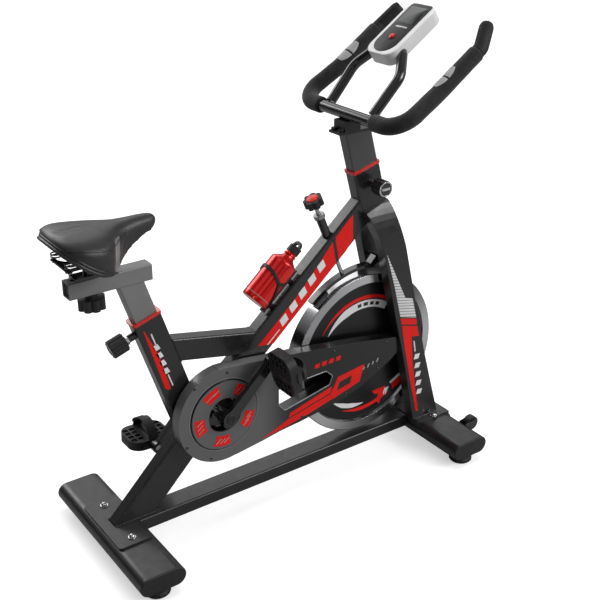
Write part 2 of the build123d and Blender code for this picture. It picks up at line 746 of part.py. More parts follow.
def saddle_springs():
    """Two-turn coils on the rear cross plate."""
    springs = []
    for side in SIDES:
        coil = Helix(pitch=5.6, height=11.2, radius=13.0, center=(-64, side * 38, RAIL_Z + 11.5))
        wire = Plane(origin=coil @ 0, z_dir=coil % 0) * Circle(1.7)
        springs.append(sweep(wire, path=coil, is_frenet=True))
    return springs


def saddle_cushion():
    plan = CUSHION_PLAN + [(x, -y) for x, y in CUSHION_PLAN[::-1][1:-1]]
    body = extrude(polygon([(x, y, 730) for x, y in plan]), amount=120, dir=(0, 0, 1))
    body &= prism(CUSHION_SIDE, -110, 110)
    crown = polygon([(-120, y, z) for y, z in CUSHION_CROWN])
    body &= extrude(crown, amount=300, dir=(1, 0, 0))
    tunnel_plan = polygon([(x, y, 700) for x, y in TUNNEL_PLAN])
    tunnel = extrude(tunnel_plan, amount=200, dir=(0, 0, 1))
    tunnel &= prism(TUNNEL_SIDE, -80, 80)
    return one(body - tunnel)


def seat_pin():
    """Lobed knob, neck and shank behind the seat tube."""
    start = lift(shift(SEAT_PIN, SEAT_REAR, 27))
    body = lobed(start, lift(SEAT_REAR), 22, 38, 10, 4.5)
    body += seat_pin_rod(22.3, 8, 6)
    body += seat_pin_rod(-6.0, PIN_R, 40)
    return one(body)


# ---------------------------------------------------------------- handlebar
BAR_C = (671.0, 965.0)                       # crossbar axis
BAR_R = 14.0
BAR_Y = 183.0
BAR_POST_Z = 922.0                           # top of the bar post's tube
# Right half of the bar from its outer corner to the grip end, (x, y, z).
BAR_ARM = [(671, -BAR_Y - 6, 965), (786, -BAR_Y, 1030), (915, -BAR_Y + 1, 1119),
           (954, -157, 1163)]
BAR_BENDS = [56, 90, 26]
BAR_POINTS = flip(BAR_ARM)[::-1] + BAR_ARM
BAR_RADII = BAR_BENDS[::-1] + BAR_BENDS
# Right half of the U tube that carries the console, (x, y, z).
U_HALF = [(684, -81, 976), (758, -86, 1056), (800, -42, 1102)]
U_POINTS = U_HALF + flip(U_HALF)[::-1]
U_RADII = [46, 26, 26, 46]
U_R = 12.5
CONSOLE_C = (826.5, 1147.0)                  # centre of the console's face
CONSOLE_D = unit((118.0, 80.0))              # up the face, forward
CONSOLE_N = (-CONSOLE_D[1], CONSOLE_D[0])    # out of the face, up and back
CONSOLE_T = 34.0
BUTTON_C = shift(CONSOLE_C, CONSOLE_D, -30)
BUTTON_R = 8.0

bar_env = bent_bar(BAR_POINTS, BAR_RADII, BAR_R)


def bar_post():
    """Post with a plate, a clamp block round the crossbar and two round bosses."""
    post = tube(HEAD_TOP, HEAD_D, -132, 118, 75, POST_HALF, 2.5, 3)
    post -= prism(rect(500, 900, BAR_POST_Z, 1200), -60, 60)
    plate = box_at((682, 0, BAR_POST_Z + 3), 96, 44, 6)
    block = box_at((672, 0, BAR_POST_Z + 18), 46, 44, 24) - disc(BAR_C, BAR_R, -50, 50)
    post = post + plate + block
    for side in SIDES:
        post += upright(643, side * 14, BAR_POST_Z + 6, 6.5, 6)
    return one(post)


def handlebar():
    bar_tube = one(bar_env - bent_bar(BAR_POINTS, BAR_RADII, BAR_R - 2.2))
    u_tube = one(bent_bar(U_POINTS, U_RADII, U_R) - bar_env)
    joined = bar_tube + u_tube
    # The tubes only touch; keep them as two solids if the union splits or loses material.
    if len(joined.solids()) != 1 or joined.volume < bar_tube.volume + u_tube.volume - 500:
        return [bar_tube, u_tube]
    return joined


def bar_foam():
    """A sleeve on each arm, then a thinner one at its grip end."""
    corner, bend, end_bend = BAR_ARM[:3]
    joint = tuple(Vector(*bend) + (Vector(*end_bend) - Vector(*bend)) * 0.90)
    sleeve = [(BAR_C[0], -99, BAR_C[1]), corner, bend, joint]
    grip = [joint, end_bend, (953.6, -157.3, 1162.6)]
    foam = []
    for sleeve_points, grip_points in ((sleeve, grip), (flip(sleeve), flip(grip))):
        foam.append(one(bent_bar(sleeve_points, BAR_BENDS[:2], 20.0) - bar_env))
        foam.append(one(bent_bar(grip_points, BAR_BENDS[2:], 17.5) - bar_env))
    return foam


def button_rod(depth, radius, length):
    """Round bar on the button's axis, starting at a depth below the face."""
    return rod(lift(shift(BUTTON_C, CONSOLE_N, -depth)), lift(CONSOLE_N), radius, length)


def console_housing():
    """Rounded block on the U tube, its face tilted towards the rider."""
    plane = Plane(origin=lift(shift(CONSOLE_C, CONSOLE_N, -CONSOLE_T)),
                  x_dir=lift(CONSOLE_D), z_dir=lift(CONSOLE_N))
    body = extrude(plane * RectangleRounded(176, 98, 28), amount=CONSOLE_T)
    center, normal = Vector(*lift(CONSOLE_C)), Vector(*lift(CONSOLE_N))
    rim = [e for e in body.edges() if (e.center() - center).dot(normal) > -0.5]
    body = round_edges(body, rim, 3)
    body -= bent_bar(U_POINTS, U_RADII, U_R + 0.05)
    return one(body - button_rod(6, BUTTON_R + 0.06, 20))


def console_button():
    return button_rod(4, BUTTON_R, 6.5)


def bar_pin():
    """Lobed knob, neck and shank on the right of the head tube."""
    body = lobed(lift(BAR_PIN, -TUBE_HALF - 56), (0, 1, 0), 20.5, 34, 12, 3.4)
    body += disc(BAR_PIN, 8, -TUBE_HALF - 24, -TUBE_HALF - 15.4)
    return one(body + disc(BAR_PIN, PIN_R, -TUBE_HALF - 26, -16.4))


# -------------------------------------------------------------------- brake
BRAKE_ROD_R = 5.0
BRAKE_BORE_R = BRAKE_ROD_R + 0.06
BRAKE_ROD_REACH = 249.2                      # rod's lower end to the flywheel axis, at most


def brake_sleeve():
    sleeve = brake_bar(-122, 11, 72) + brake_bar(-50, 13.5, 9)
    return one(sleeve - brake_bar(-130, BRAKE_BORE_R, 100) - main_env)


def brake_rod():
    """Rod lengthened in half-millimetre steps until it reaches the lever."""
    drop = 150.0
    while math.dist(along(BRAKE_TOP, BRAKE_D, -drop), AXLE) > BRAKE_ROD_REACH:
        drop += 0.5
    return brake_bar(-drop, BRAKE_ROD_R, drop - 6)


def brake_knob():
    knob = lobed(lift(along(BRAKE_TOP, BRAKE_D, -11)), lift(BRAKE_D), 24.5, 20, 7, 8.0)
    return one(knob - brake_bar(-30, BRAKE_BORE_R, 24))


def brake_arc(outer_r, inner_r, half, front_dx, front_dz):
    """Part of a ring about the flywheel axis, between a rear and a front ray."""
    rear = (AXLE[0] - 420, AXLE[1] + 470)
    front = (AXLE[0] + front_dx, AXLE[1] + front_dz)
    ring = disc(AXLE, outer_r, -half, half) - disc(AXLE, inner_r, -20, 20)
    return one(ring & prism([AXLE, rear, front], -half - 2, half + 2))


def brake_lever():
    """Curved lever with its pivot eye, and a wider pad under its rear end."""
    lever = brake_arc(247, 238, 10, 60, 500) + hull(BRAKE_PIVOT, 11, (752, 561), 6, -10, 10)
    lever -= disc(BRAKE_PIVOT, 5.08, -20, 20)
    return one(one(lever) + brake_arc(241, 232, 16, -330, 560))


# ------------------------------------------- bottle, on top of the main tube
BOTTLE_OFF = 52.0                            # bottle axis above the tube's top face
MAIN_N = (-MAIN_D[1], MAIN_D[0])             # out of the tube's top face
TUBE_FACE = shift(MAIN_P, MAIN_N, MAIN_DEPTH / 2)
# Bottle half section, (radius, distance along the axis).
BOTTLE_PROFILE = [(0, 0), (33, 0), (35, 3), (35, 116), (32, 128), (22, 137), (14, 140),
                  (14, 148), (0, 148)]


def bottle_point(distance, height=BOTTLE_OFF):
    """Side-view point along the bottle, at a height above the tube's top face."""
    return along(TUBE_FACE, MAIN_D, distance - 88, height)


# Bottle frame: x to the left, y away from the tube, z along the bottle.
bottle_plane = Plane(origin=lift(bottle_point(0)), x_dir=(0, 1, 0), z_dir=lift(MAIN_D))


def bottle():
    section = polygon([(radius, 0, z) for radius, z in BOTTLE_PROFILE])
    return one(bottle_plane * revolve(section, axis=Axis.Z))


def bottle_cap():
    """Round cap with a carrying loop."""
    cap = bottle_plane * upright(0, 0, 148.3, 16, 18)
    ring = Rot(90, 0, 0) * (Cylinder(15, 7) - Cylinder(8, 9))
    loop = bottle_plane * (Location((0, 0, 167)) * ring)
    loop = loop & (bottle_plane * box_at((0, 0, 186), 60, 60, 41))
    return one(cap + loop)


def cage_band(start, end, half=3.6, overlap=2):
    """Straight band across the bottle between (distance, height from the axis) points."""
    heading = (end[0] - start[0], end[1] - start[1])
    corners = [along(start, heading, -overlap, half), along(end, heading, overlap, half),
               along(end, heading, overlap, -half), along(start, heading, -overlap, -half)]
    return prism([bottle_point(distance, BOTTLE_OFF + height) for distance, height in corners],
                 -45, 45)


def bottle_cage():
    """Back strip, wrapped arms, end tab and two round feet on the tube."""
    way = bottle_plane * upright(0, 0, -0.3, 35.4, 200)
    shell = bottle_plane * upright(0, 0, -5, 38.2, 110)
    joint, elbow = (66, 0), (10, -30)
    front = cage_band((86, 42), joint) + cage_band(joint, (86, -42))
    rear = cage_band(joint, elbow) + cage_band(elbow, (6, -42))
    arms = (shell - way) & (front + rear)
    tab = (bottle_plane * box_at((0, 0, -2.7), 26, 60, 4.4)) & shell
    cage = bottle_plane * box_at((0, 12.0 - BOTTLE_OFF, 60), 18, 4, 130)
    cage = cage + arms + tab
    for distance in (20, 95):
        cage = cage + rod(lift(bottle_point(distance, 0.02)), lift(MAIN_N), 7, 11.5)
    return one(cage - way)


# ------------------------------------------------------------------- output
os.makedirs("parts", exist_ok=True)
# Each of these is written under its function's name.
for build in (
    rear_stabiliser, front_stabiliser, stabiliser_caps, rear_mount_plate, front_mount_plate,
    mount_bolts, rear_strut, base_tube, seat_tube, main_tube, top_tube, head_tube,
    tube_collars, bottom_bracket, crank_bearings, flywheel, flywheel_bearings,
    flywheel_pulley, flywheel_axle, axle_nuts, crank_arms, crank_spindle, drive_pulley,
    drive_belt, pedal_axles, cover_outer, cover_inner, seat_post, seat_carriage, slide_knob,
    saddle_base, saddle_springs, saddle_cushion, seat_pin, bar_post, handlebar, bar_foam,
    console_housing, console_button, bar_pin, brake_sleeve, brake_rod, brake_knob,
    brake_lever, bottle, bottle_cap, bottle_cage,
):
    save(build.__name__, build())

for side, side_name, pedal_turn in ((RIGHT, "right", 78.0), (LEFT, "left", 3.0)):
    save("foot_rear_" + side_name, foot(REAR_X, side))
    save("foot_front_" + side_name, foot(FRONT_X, side))
    save("wheel_" + side_name, wheel(side))
    save("fork_" + side_name, fork(side))
    tread, strap = pedal(side, pedal_turn)
    save("pedal_" + side_name, tread)
    save("pedal_" + side_name + "_strap", strap)
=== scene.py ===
# An upright exercise bike: saddle at the rear, flywheel, console and handlebar at the front.
# The front points along +X, the rider's right is -Y, and the feet stand on z = 0.
# Shapes are drawn in design millimetres; to_row() turns them into the scene's metres.
import math
import bpy
import bmesh
from mathutils import Vector, Matrix


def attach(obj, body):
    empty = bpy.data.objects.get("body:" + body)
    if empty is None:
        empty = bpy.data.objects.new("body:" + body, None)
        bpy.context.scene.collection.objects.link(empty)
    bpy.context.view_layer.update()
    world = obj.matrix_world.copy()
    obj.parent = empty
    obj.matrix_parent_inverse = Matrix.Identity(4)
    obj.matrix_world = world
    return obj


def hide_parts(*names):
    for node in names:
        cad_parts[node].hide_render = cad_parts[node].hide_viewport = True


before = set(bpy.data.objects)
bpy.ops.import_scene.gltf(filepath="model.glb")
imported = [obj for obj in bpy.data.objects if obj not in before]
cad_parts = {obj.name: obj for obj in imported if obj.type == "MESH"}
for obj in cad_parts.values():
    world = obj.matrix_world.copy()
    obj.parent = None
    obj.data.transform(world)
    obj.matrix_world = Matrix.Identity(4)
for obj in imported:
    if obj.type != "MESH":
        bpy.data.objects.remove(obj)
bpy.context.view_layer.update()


# ------------------------------------------------------------------ driving dimensions
def side_normal(direction):
    """A direction in the side plane turned a quarter, from +X towards +Z."""
    return Vector((-direction.z, 0, direction.x))


def flat(vector):
    """The (x, z) part of a vector."""
    return Vector((vector.x, vector.z))


def turned(direction):
    """A flat (x, z) direction turned a quarter, from +X towards +Z."""
    return Vector((-direction.y, direction.x))


MID_X = 469.75                 # design x of the scene origin
WHEEL_AXLE = (728.0, 318.0)    # (x, z)
CRANK_AXLE = (273.0, 305.5)    # (x, z)
LEFT = Vector((0, 1, 0))
RIGHT = -LEFT
SIDES = (("right", -1), ("left", 1))    # name, sign of y

CONSOLE_ALONG = Vector((0.8277, 0, 0.5612)).normalized()
CONSOLE_NORMAL = side_normal(CONSOLE_ALONG)
CONSOLE_CENTRE = Vector((826.5, 0, 1147.0))
SEAT_ALONG = Vector((-0.305, 0, 0.952)).normalized()
SEAT_NORMAL = side_normal(SEAT_ALONG)    # points to the rear
SEAT_POINT = Vector((107.2, 0, 588.4))
BRAKE_ALONG = Vector((-0.390, 0, 0.921)).normalized()
BRAKE_POINT = Vector((573.5, 0, 766))
MAIN_ALONG = Vector((0.752, 0, 0.659)).normalized()
MAIN_NORMAL = side_normal(MAIN_ALONG)
MAIN_POINT = Vector((520.0, 0, 544.0))

# Tubes in the side plane: a point on the centre line, the direction, half the depth
SEAT_TUBE = (flat(SEAT_POINT), flat(SEAT_ALONG), 35.5)
MAIN_TUBE = (flat(MAIN_POINT), flat(MAIN_ALONG), 33.5)
TOP_TUBE = (Vector((271.0, 472.5)), Vector((0.979, -0.202)).normalized(), 28.5)
STRUT = (Vector((20.75, 62.25)), Vector((1, 1)).normalized(), 38.5)

# Half widths of the faces that carry decals
SEAT_FACE = 19.0
MAIN_FACE = 19.5
FORK_FACE = 60.0
COVER_FACE = 55.0
COVER_RING_FACE = 58.0

# Side groove of the saddle: its x at a reference height, and how x grows with z
GROOVE_X = 26.0
GROOVE_Z = 760.0
GROOVE_SLOPE = 0.16


def to_row(point):
    """Design millimetres to scene metres."""
    return Vector(((point[0] - MID_X) / 1000.0, point[1] / 1000.0, point[2] / 1000.0))


def to_design(point):
    """Scene metres to design millimetres."""
    return point.x * 1000 + MID_X, point.y * 1000, point.z * 1000


# ------------------------------------------------------------------ shader graphs
class Graph:
    """A shader node tree. Its helpers take sockets or plain values and return sockets."""

    def __init__(self, owner, output_kind, space):
        owner.use_nodes = True
        self.tree = owner.node_tree
        self.tree.nodes.clear()
        self.output = self.node(output_kind)
        self.place = self.node("TexCoord").outputs[space]

    def feed(self, socket, value):
        """Links a socket to an input, or sets the input's value."""
        if isinstance(value, bpy.types.NodeSocket):
            self.tree.links.new(value, socket)
        elif socket.type == "RGBA":
            socket.default_value = (*value, 1.0)
        else:
            socket.default_value = value

    def node(self, kind, inputs=(), **settings):
        made = self.tree.nodes.new("ShaderNode" + kind)
        for key, value in settings.items():
            setattr(made, key, value)
        for key, value in dict(inputs).items():
            self.feed(made.inputs[key], value)
        return made

    def noise(self, scale, detail=3.0, rough=0.5, stretch=None):
        place = self.place
        if stretch:
            place = self.node("Mapping", {"Vector": place, "Scale": stretch}).outputs[0]
        inputs = {"Scale": scale, "Detail": detail, "Roughness": rough, "Vector": place}
        return self.node("TexNoise", inputs).outputs[0]

    def ramp(self, value, lo, hi, out_lo=0.0, out_hi=1.0, kind="SMOOTHSTEP"):
        """Maps lo..hi to out_lo..out_hi, held at both ends."""
        inputs = enumerate((value, lo, hi, out_lo, out_hi))
        return self.node("MapRange", inputs, interpolation_type=kind).outputs[0]

    def calc(self, operation, *values, clamp=False):
        node = self.node("Math", enumerate(values), operation=operation, use_clamp=clamp)
        return node.outputs[0]

    def xyz(self):
        return self.node("SeparateXYZ", {0: self.place}).outputs

    def offset_from(self, centre):
        """Metres in x and z from a design point (x, z)."""
        place = self.xyz()
        return (self.calc("SUBTRACT", place[0], (centre[0] - MID_X) / 1000.0),
                self.calc("SUBTRACT", place[2], centre[1] / 1000.0))

    def length(self, first, second):
        squares = [self.calc("MULTIPLY", value, value) for value in (first, second)]
        return self.calc("SQRT", self.calc("ADD", *squares))

    def mix(self, share, first, second):
        made = self.node("Mix", data_type="RGBA")
        enabled = [socket for socket in made.inputs if socket.enabled]
        for socket, value in zip(enabled, (share, first, second)):
            self.feed(socket, value)
        return [socket for socket in made.outputs if socket.enabled][0]


class Finish(Graph):
    def __init__(self, name, slot=None):
        self.material = bpy.data.materials.new(name)
        super().__init__(self.material, "OutputMaterial", "Object")
        self.slot = slot
        self.normal = None
        self.bsdf = self.node("BsdfPrincipled")
        self.feed(self.output.inputs[0], self.bsdf.outputs[0])

    def set(self, name, value):
        self.feed(self.bsdf.inputs[name], value)

    def paint(self, color):
        self.color = color
        self.set("Base Color", color)

    def overlay(self, mask, color):
        """Lays a colour over the present one where the mask is 1."""
        self.paint(self.mix(mask, self.color, color))

    def bump(self, height, distance, strength=1.0):
        """Adds a bump on top of those already there."""
        inputs = {"Strength": strength, "Distance": distance, "Height": height}
        if self.normal is not None:
            inputs["Normal"] = self.normal
        self.normal = self.node("Bump", inputs).outputs[0]
        self.set("Normal", self.normal)


def surface(name, slot=None, color=None, rough=None, metal=0.0, coat=0.0, coat_rough=0.08,
            tone=(14.0, 0.12), rough_noise=(45.0, 0.06), bumps=((900.0, 0.00003),),
            stretch=None, bevel=0.0010, edge=0.0, edge_color=None, sheen=0.0, specular=0.5,
            dust=0.0):
    """A finish with slow colour change, uneven roughness, fine bumps and worn, rounded edges.

    tone is (noise scale, colour spread) and rough_noise (noise scale, roughness spread).
    bumps holds (noise scale, depth in metres); stretch scales the first one along x, y, z.
    bevel is the radius of the rounded-edge shading, edge the wear and dust that of upward faces.
    Without color or rough, the caller feeds that input itself.
    """
    finish = Finish(name, slot)
    if color:
        scale, spread = tone
        finish.paint(finish.mix(finish.ramp(finish.noise(scale, 4.0), 0.35, 0.65),
                                [c * (1 - spread) for c in color],
                                [min(1.0, c * (1 + spread)) for c in color]))
    if bevel > 0:
        finish.normal = finish.node("Bevel", {"Radius": bevel}, samples=4).outputs[0]
    if edge > 0:
        flat_normal = finish.node("NewGeometry").outputs["Normal"]
        turn = finish.node("VectorMath", {0: finish.normal, 1: flat_normal},
                           operation="DOT_PRODUCT").outputs["Value"]
        wear = finish.ramp(turn, 0.995, 0.90, 0.0, edge)
        patchy = finish.ramp(finish.noise(160.0, 5.0), 0.40, 0.62, 0.25, 1.0)
        finish.overlay(finish.calc("MULTIPLY", wear, patchy), edge_color)
    if dust > 0:
        flat_normal = finish.node("NewGeometry").outputs["Normal"]
        height = finish.node("SeparateXYZ", {0: flat_normal}).outputs[2]
        upward = finish.ramp(height, 0.55, 1.0, 0.0, dust)
        patchy = finish.ramp(finish.noise(70.0, 6.0, 0.7), 0.42, 0.70)
        finish.overlay(finish.calc("MULTIPLY", upward, patchy), (0.42, 0.41, 0.40))
    if rough:
        scale, spread = rough_noise
        finish.set("Roughness", finish.ramp(finish.noise(scale, 5.0, 0.6), 0.3, 0.7,
                                            max(0.02, rough - spread), min(1.0, rough + spread)))
    finish.set("Metallic", metal)
    finish.set("Coat Weight", coat)
    finish.set("Coat Roughness", coat_rough)
    finish.set("Specular IOR Level", specular)
    if sheen:
        finish.set("Sheen Weight", sheen)
        finish.set("Sheen Roughness", 0.5)
    for i, (scale, depth) in enumerate(bumps):
        finish.bump(finish.noise(scale, 3.0, 0.55, None if i else stretch), depth)
    return finish


# ------------------------------------------------------------------ plain finishes
paint = surface("frame_gloss_charcoal", "frame_paint", color=(0.012, 0.012, 0.013), rough=0.30,
                coat=0.45, coat_rough=0.13, bumps=((45.0, 0.00002),), bevel=0.0032,
                tone=(6.0, 0.08))
fork_paint = surface("fork_gloss_charcoal", color=(0.012, 0.012, 0.013), rough=0.36, coat=0.30,
                     coat_rough=0.22, bumps=((45.0, 0.00002),), bevel=0.0030, tone=(6.0, 0.08))
stabiliser_paint = surface("stabiliser_satin_charcoal", color=(0.013, 0.013, 0.014), rough=0.38,
                           coat=0.35, coat_rough=0.16, bumps=((800.0, 0.000010),), bevel=0.0016,
                           edge=0.10, edge_color=(0.18, 0.18, 0.185), tone=(6.0, 0.08),
                           dust=0.02)
post_paint = surface("seat_post_silver_grey", color=(0.25, 0.25, 0.255), rough=0.40, metal=0.35,
                     bumps=((1.0, 0.00003), (1800.0, 0.000015)), stretch=(1600.0, 1600.0, 90.0),
                     bevel=0.0014, edge=0.5, edge_color=(0.55, 0.55, 0.56), tone=(9.0, 0.07))
bar_black = surface("handlebar_gloss_black", color=(0.014, 0.014, 0.015), rough=0.22, coat=0.8,
                    coat_rough=0.06, bevel=0.0008)
black_plastic = surface("moulded_black_plastic", "black_plastic", color=(0.013, 0.013, 0.014),
                        rough=0.46, bumps=((1500.0, 0.00008), (5200.0, 0.00003)), bevel=0.0009,
                        edge=0.35, edge_color=(0.06, 0.06, 0.062), dust=0.02)
pedal_plastic = surface("pedal_black_plastic", color=(0.016, 0.016, 0.017), rough=0.5,
                        bumps=((1100.0, 0.00012), (4200.0, 0.00003)), bevel=0.0012, edge=0.5,
                        edge_color=(0.10, 0.10, 0.102), dust=0.04)
gloss_black = surface("gloss_black_enamel", "black_plastic", color=(0.010, 0.010, 0.011),
                      rough=0.20, coat=0.7, coat_rough=0.05, bumps=((800.0, 0.00003),),
                      edge=0.25, edge_color=(0.12, 0.12, 0.12))
red_gloss = surface("red_gloss_plastic", "red_plastic", color=(0.80, 0.014, 0.010), rough=0.26,
                    coat=0.4, coat_rough=0.06, bumps=((1100.0, 0.00003),), edge=0.3,
                    edge_color=(0.80, 0.16, 0.14))
red_decal = surface("red_vinyl_decal", "red_plastic", color=(0.90, 0.012, 0.008), rough=0.42,
                    specular=0.28, bumps=((1300.0, 0.000008),), bevel=0.0, tone=(12.0, 0.05),
                    rough_noise=(20.0, 0.03))
white_decal = surface("white_vinyl_decal", "console_white", color=(0.92, 0.92, 0.92), rough=0.4,
                      coat=0.1, bumps=((1300.0, 0.00002),), bevel=0.0, tone=(30.0, 0.03))
black_decal = surface("black_vinyl_decal", "black_plastic", color=(0.012, 0.012, 0.013),
                      rough=0.32, coat=0.3, bumps=((1300.0, 0.00002),), bevel=0.0,
                      tone=(30.0, 0.06))
steel = surface("brushed_steel", color=(0.56, 0.56, 0.57), rough=0.28, metal=1.0,
                bumps=((1.0, 0.00002),), stretch=(300.0, 4000.0, 300.0), bevel=0.0006,
                tone=(40.0, 0.08))
chrome = surface("polished_chrome", "bright_steel", color=(0.74, 0.74, 0.76), rough=0.07,
                 metal=1.0, bumps=((400.0, 0.000006),), bevel=0.0007, tone=(20.0, 0.03),
                 rough_noise=(60.0, 0.03))
pulse_steel = surface("pulse_plate_satin_steel", "bright_steel", color=(0.80, 0.80, 0.80),
                      rough=0.42, metal=0.35, coat=0.3, bumps=((1400.0, 0.00001),), bevel=0.0,
                      tone=(30.0, 0.03))
zinc = surface("zinc_plated_steel", "bright_steel", color=(0.46, 0.46, 0.45), rough=0.33,
               metal=1.0, bumps=((2200.0, 0.00002),), bevel=0.0006, tone=(60.0, 0.12))
belt_rubber = surface("ribbed_belt_rubber", color=(0.013, 0.013, 0.013), rough=0.7,
                      bumps=((1500.0, 0.00006),), bevel=0.0003)
foot_rubber = surface("foot_rubber", color=(0.014, 0.014, 0.014), rough=0.62,
                      bumps=((1400.0, 0.0001),), edge=0.3, edge_color=(0.05, 0.05, 0.05),
                      dust=0.06)
console_white = surface("console_white_plastic", color=(0.86, 0.86, 0.855), rough=0.34,
                        coat=0.25, coat_rough=0.12, bumps=((1800.0, 0.00003),), bevel=0.0016,
                        tone=(12.0, 0.03))
strap_rubber = surface("toe_strap_webbed_rubber", "black_plastic", color=(0.022, 0.022, 0.023),
                       rough=0.58, bumps=((1300.0, 0.00008), (4200.0, 0.00003)), bevel=0.0)
bottle_red = surface("red_anodised_aluminium", "bottle_red", color=(0.85, 0.012, 0.012),
                     rough=0.20, metal=0.6, coat=0.5, coat_rough=0.07, tone=(10.0, 0.10))
grip_rubber = surface("end_grip_rubber", "grip_foam", color=(0.012, 0.012, 0.012), rough=0.68,
                      bumps=((900.0, 0.0001),), bevel=0.0, tone=(40.0, 0.15))
glass = surface("lcd_window", "black_plastic", color=(0.020, 0.024, 0.022), rough=0.12,
                coat=0.35, coat_rough=0.05, bumps=((300.0, 0.000006),), bevel=0.0,
                tone=(120.0, 0.25))
panel_black = surface("console_black_face", "black_plastic", color=(0.012, 0.012, 0.013),
                      rough=0.38, coat=0.15, coat_rough=0.2, bumps=((1600.0, 0.00002),),
                      bevel=0.0)
silver_paint = surface("silver_grey_paint", "bright_steel", color=(0.36, 0.36, 0.36), rough=0.35,
                       metal=0.5, bumps=((1500.0, 0.00001),), bevel=0.0)
silver_print = surface("silver_print", "bright_steel", color=(0.60, 0.60, 0.60), rough=0.3,
                       metal=0.7, bumps=((2000.0, 0.00001),), bevel=0.0)


# ------------------------------------------------------------------ finishes that vary by place
def bar_post_finish():
    """Dark grey, turning black near the top."""
    finish = surface("bar_post_dark_grey", color=(0.070, 0.070, 0.073), rough=0.36, metal=0.15,
                     coat=0.3, coat_rough=0.18, bumps=((900.0, 0.00002),), bevel=0.0014,
                     edge=0.3, edge_color=(0.26, 0.26, 0.27))
    finish.overlay(finish.ramp(finish.xyz()[2], 0.9215, 0.9225), (0.010, 0.010, 0.011))
    return finish


def flywheel_finish():
    """Chrome rim with painted reflections and black web, told apart by the distance from the
    axle.
    """
    finish = surface("flywheel_chrome_and_enamel", metal=1.0, bumps=((500.0, 0.00001),),
                     bevel=0.0012)
    calc = finish.calc
    web = finish.ramp(finish.length(*finish.offset_from(WHEEL_AXLE)), 0.1960, 0.1964, 1.0, 0.0,
                      kind="LINEAR")
    rim = calc("SUBTRACT", 1.0, web)

    # painted reflection, light and dark sectors round the rim: (repeats per turn, phase,
    # strength)
    x, z = finish.offset_from(WHEEL_AXLE)
    angle = calc("ARCTAN2", z, x)
    waves = []
    for repeats, phase, strength in ((3.0, 2.2, 0.32), (5.0, 0.6, 0.18)):
        wave = calc("SINE", calc("ADD", calc("MULTIPLY", angle, repeats), phase))
        waves.append(calc("MULTIPLY", wave, strength))
    light = calc("ADD", 0.5, calc("ADD", *waves), clamp=True)
    # the rim colour runs between these two greys with the sectors: a painted reflection on the
    # chrome
    finish.paint(finish.mix(light, (0.20, 0.20, 0.21), (0.86, 0.86, 0.88)))
    finish.overlay(web, (0.006, 0.006, 0.0065))
    finish.set("Metallic", rim)
    finish.set("Roughness", calc("ADD", 0.13, calc("MULTIPLY", web, 0.16)))

    # fine turning rings on the rim
    centred = finish.node("Mapping", {"Vector": finish.place, "Location": -to_row(
        (WHEEL_AXLE[0], 0, WHEEL_AXLE[1]))}).outputs[0]
    rings = finish.node("TexWave", {"Vector": centred, "Scale": 420.0, "Distortion": 0.6},
                        wave_type="RINGS", rings_direction="Y").outputs[1]
    finish.bump(calc("MULTIPLY", rings, rim), 0.00002)
    return finish


def cover_finish():
    """Grey rear end that darkens towards the front; a dark ring of painted shade and a pale ring
    of painted highlight at the crank.
    """
    finish = surface("belt_cover_moulded", color=(0.125, 0.125, 0.13), rough=0.34, coat=0.35,
                     coat_rough=0.14, bumps=((1500.0, 0.00002),), bevel=0.0014, edge=0.25,
                     edge_color=(0.30, 0.30, 0.31), tone=(6.0, 0.05))
    calc = finish.calc
    place = finish.xyz()
    forward = calc("ADD", place[0], calc("MULTIPLY", place[2], 0.05))
    finish.overlay(finish.ramp(forward, -0.090, 0.020), (0.006, 0.006, 0.0065))
    radius = finish.length(*finish.offset_from(CRANK_AXLE))
    soft = 0.0004    # width of each ring's soft border
    # a dark ring of painted shade in the groove round the raised ring, then a pale ring of
    # painted highlight on its outer lip: (inner radius, outer radius, grey)
    for lo, hi, grey in ((0.0905, 0.0945, 0.006), (0.0945, 0.0962, 0.25)):
        outside = finish.ramp(radius, lo - soft, lo, kind="LINEAR")
        inside = finish.ramp(radius, hi, hi + soft, 1.0, 0.0, kind="LINEAR")
        finish.overlay(calc("MULTIPLY", outside, inside), (grey, grey, grey))
    return finish


def vinyl(name, color, rough):
    """Leather-look vinyl with a pebble grain and a soft sheen."""
    finish = surface(name, "saddle_vinyl", color=color, rough=rough, coat=0.12, coat_rough=0.3,
                     bumps=((70.0, 0.00025),), bevel=0.0, tone=(18.0, 0.12),
                     rough_noise=(30.0, 0.07), sheen=0.08)
    warp = finish.noise(120.0, 2.0).node.outputs[1]
    warped = finish.node("VectorMath", {0: warp, 1: (0.004, 0.004, 0.004), 2: finish.place},
                         operation="MULTIPLY_ADD").outputs[0]
    pebbles = finish.node("TexVoronoi", {"Scale": 620.0, "Vector": warped},
                          feature="DISTANCE_TO_EDGE").outputs[0]
    finish.bump(finish.ramp(pebbles, 0.0, 0.28), 0.00012, strength=0.7)
    finish.bump(finish.noise(2400.0, 2.0), 0.00003)
    return finish


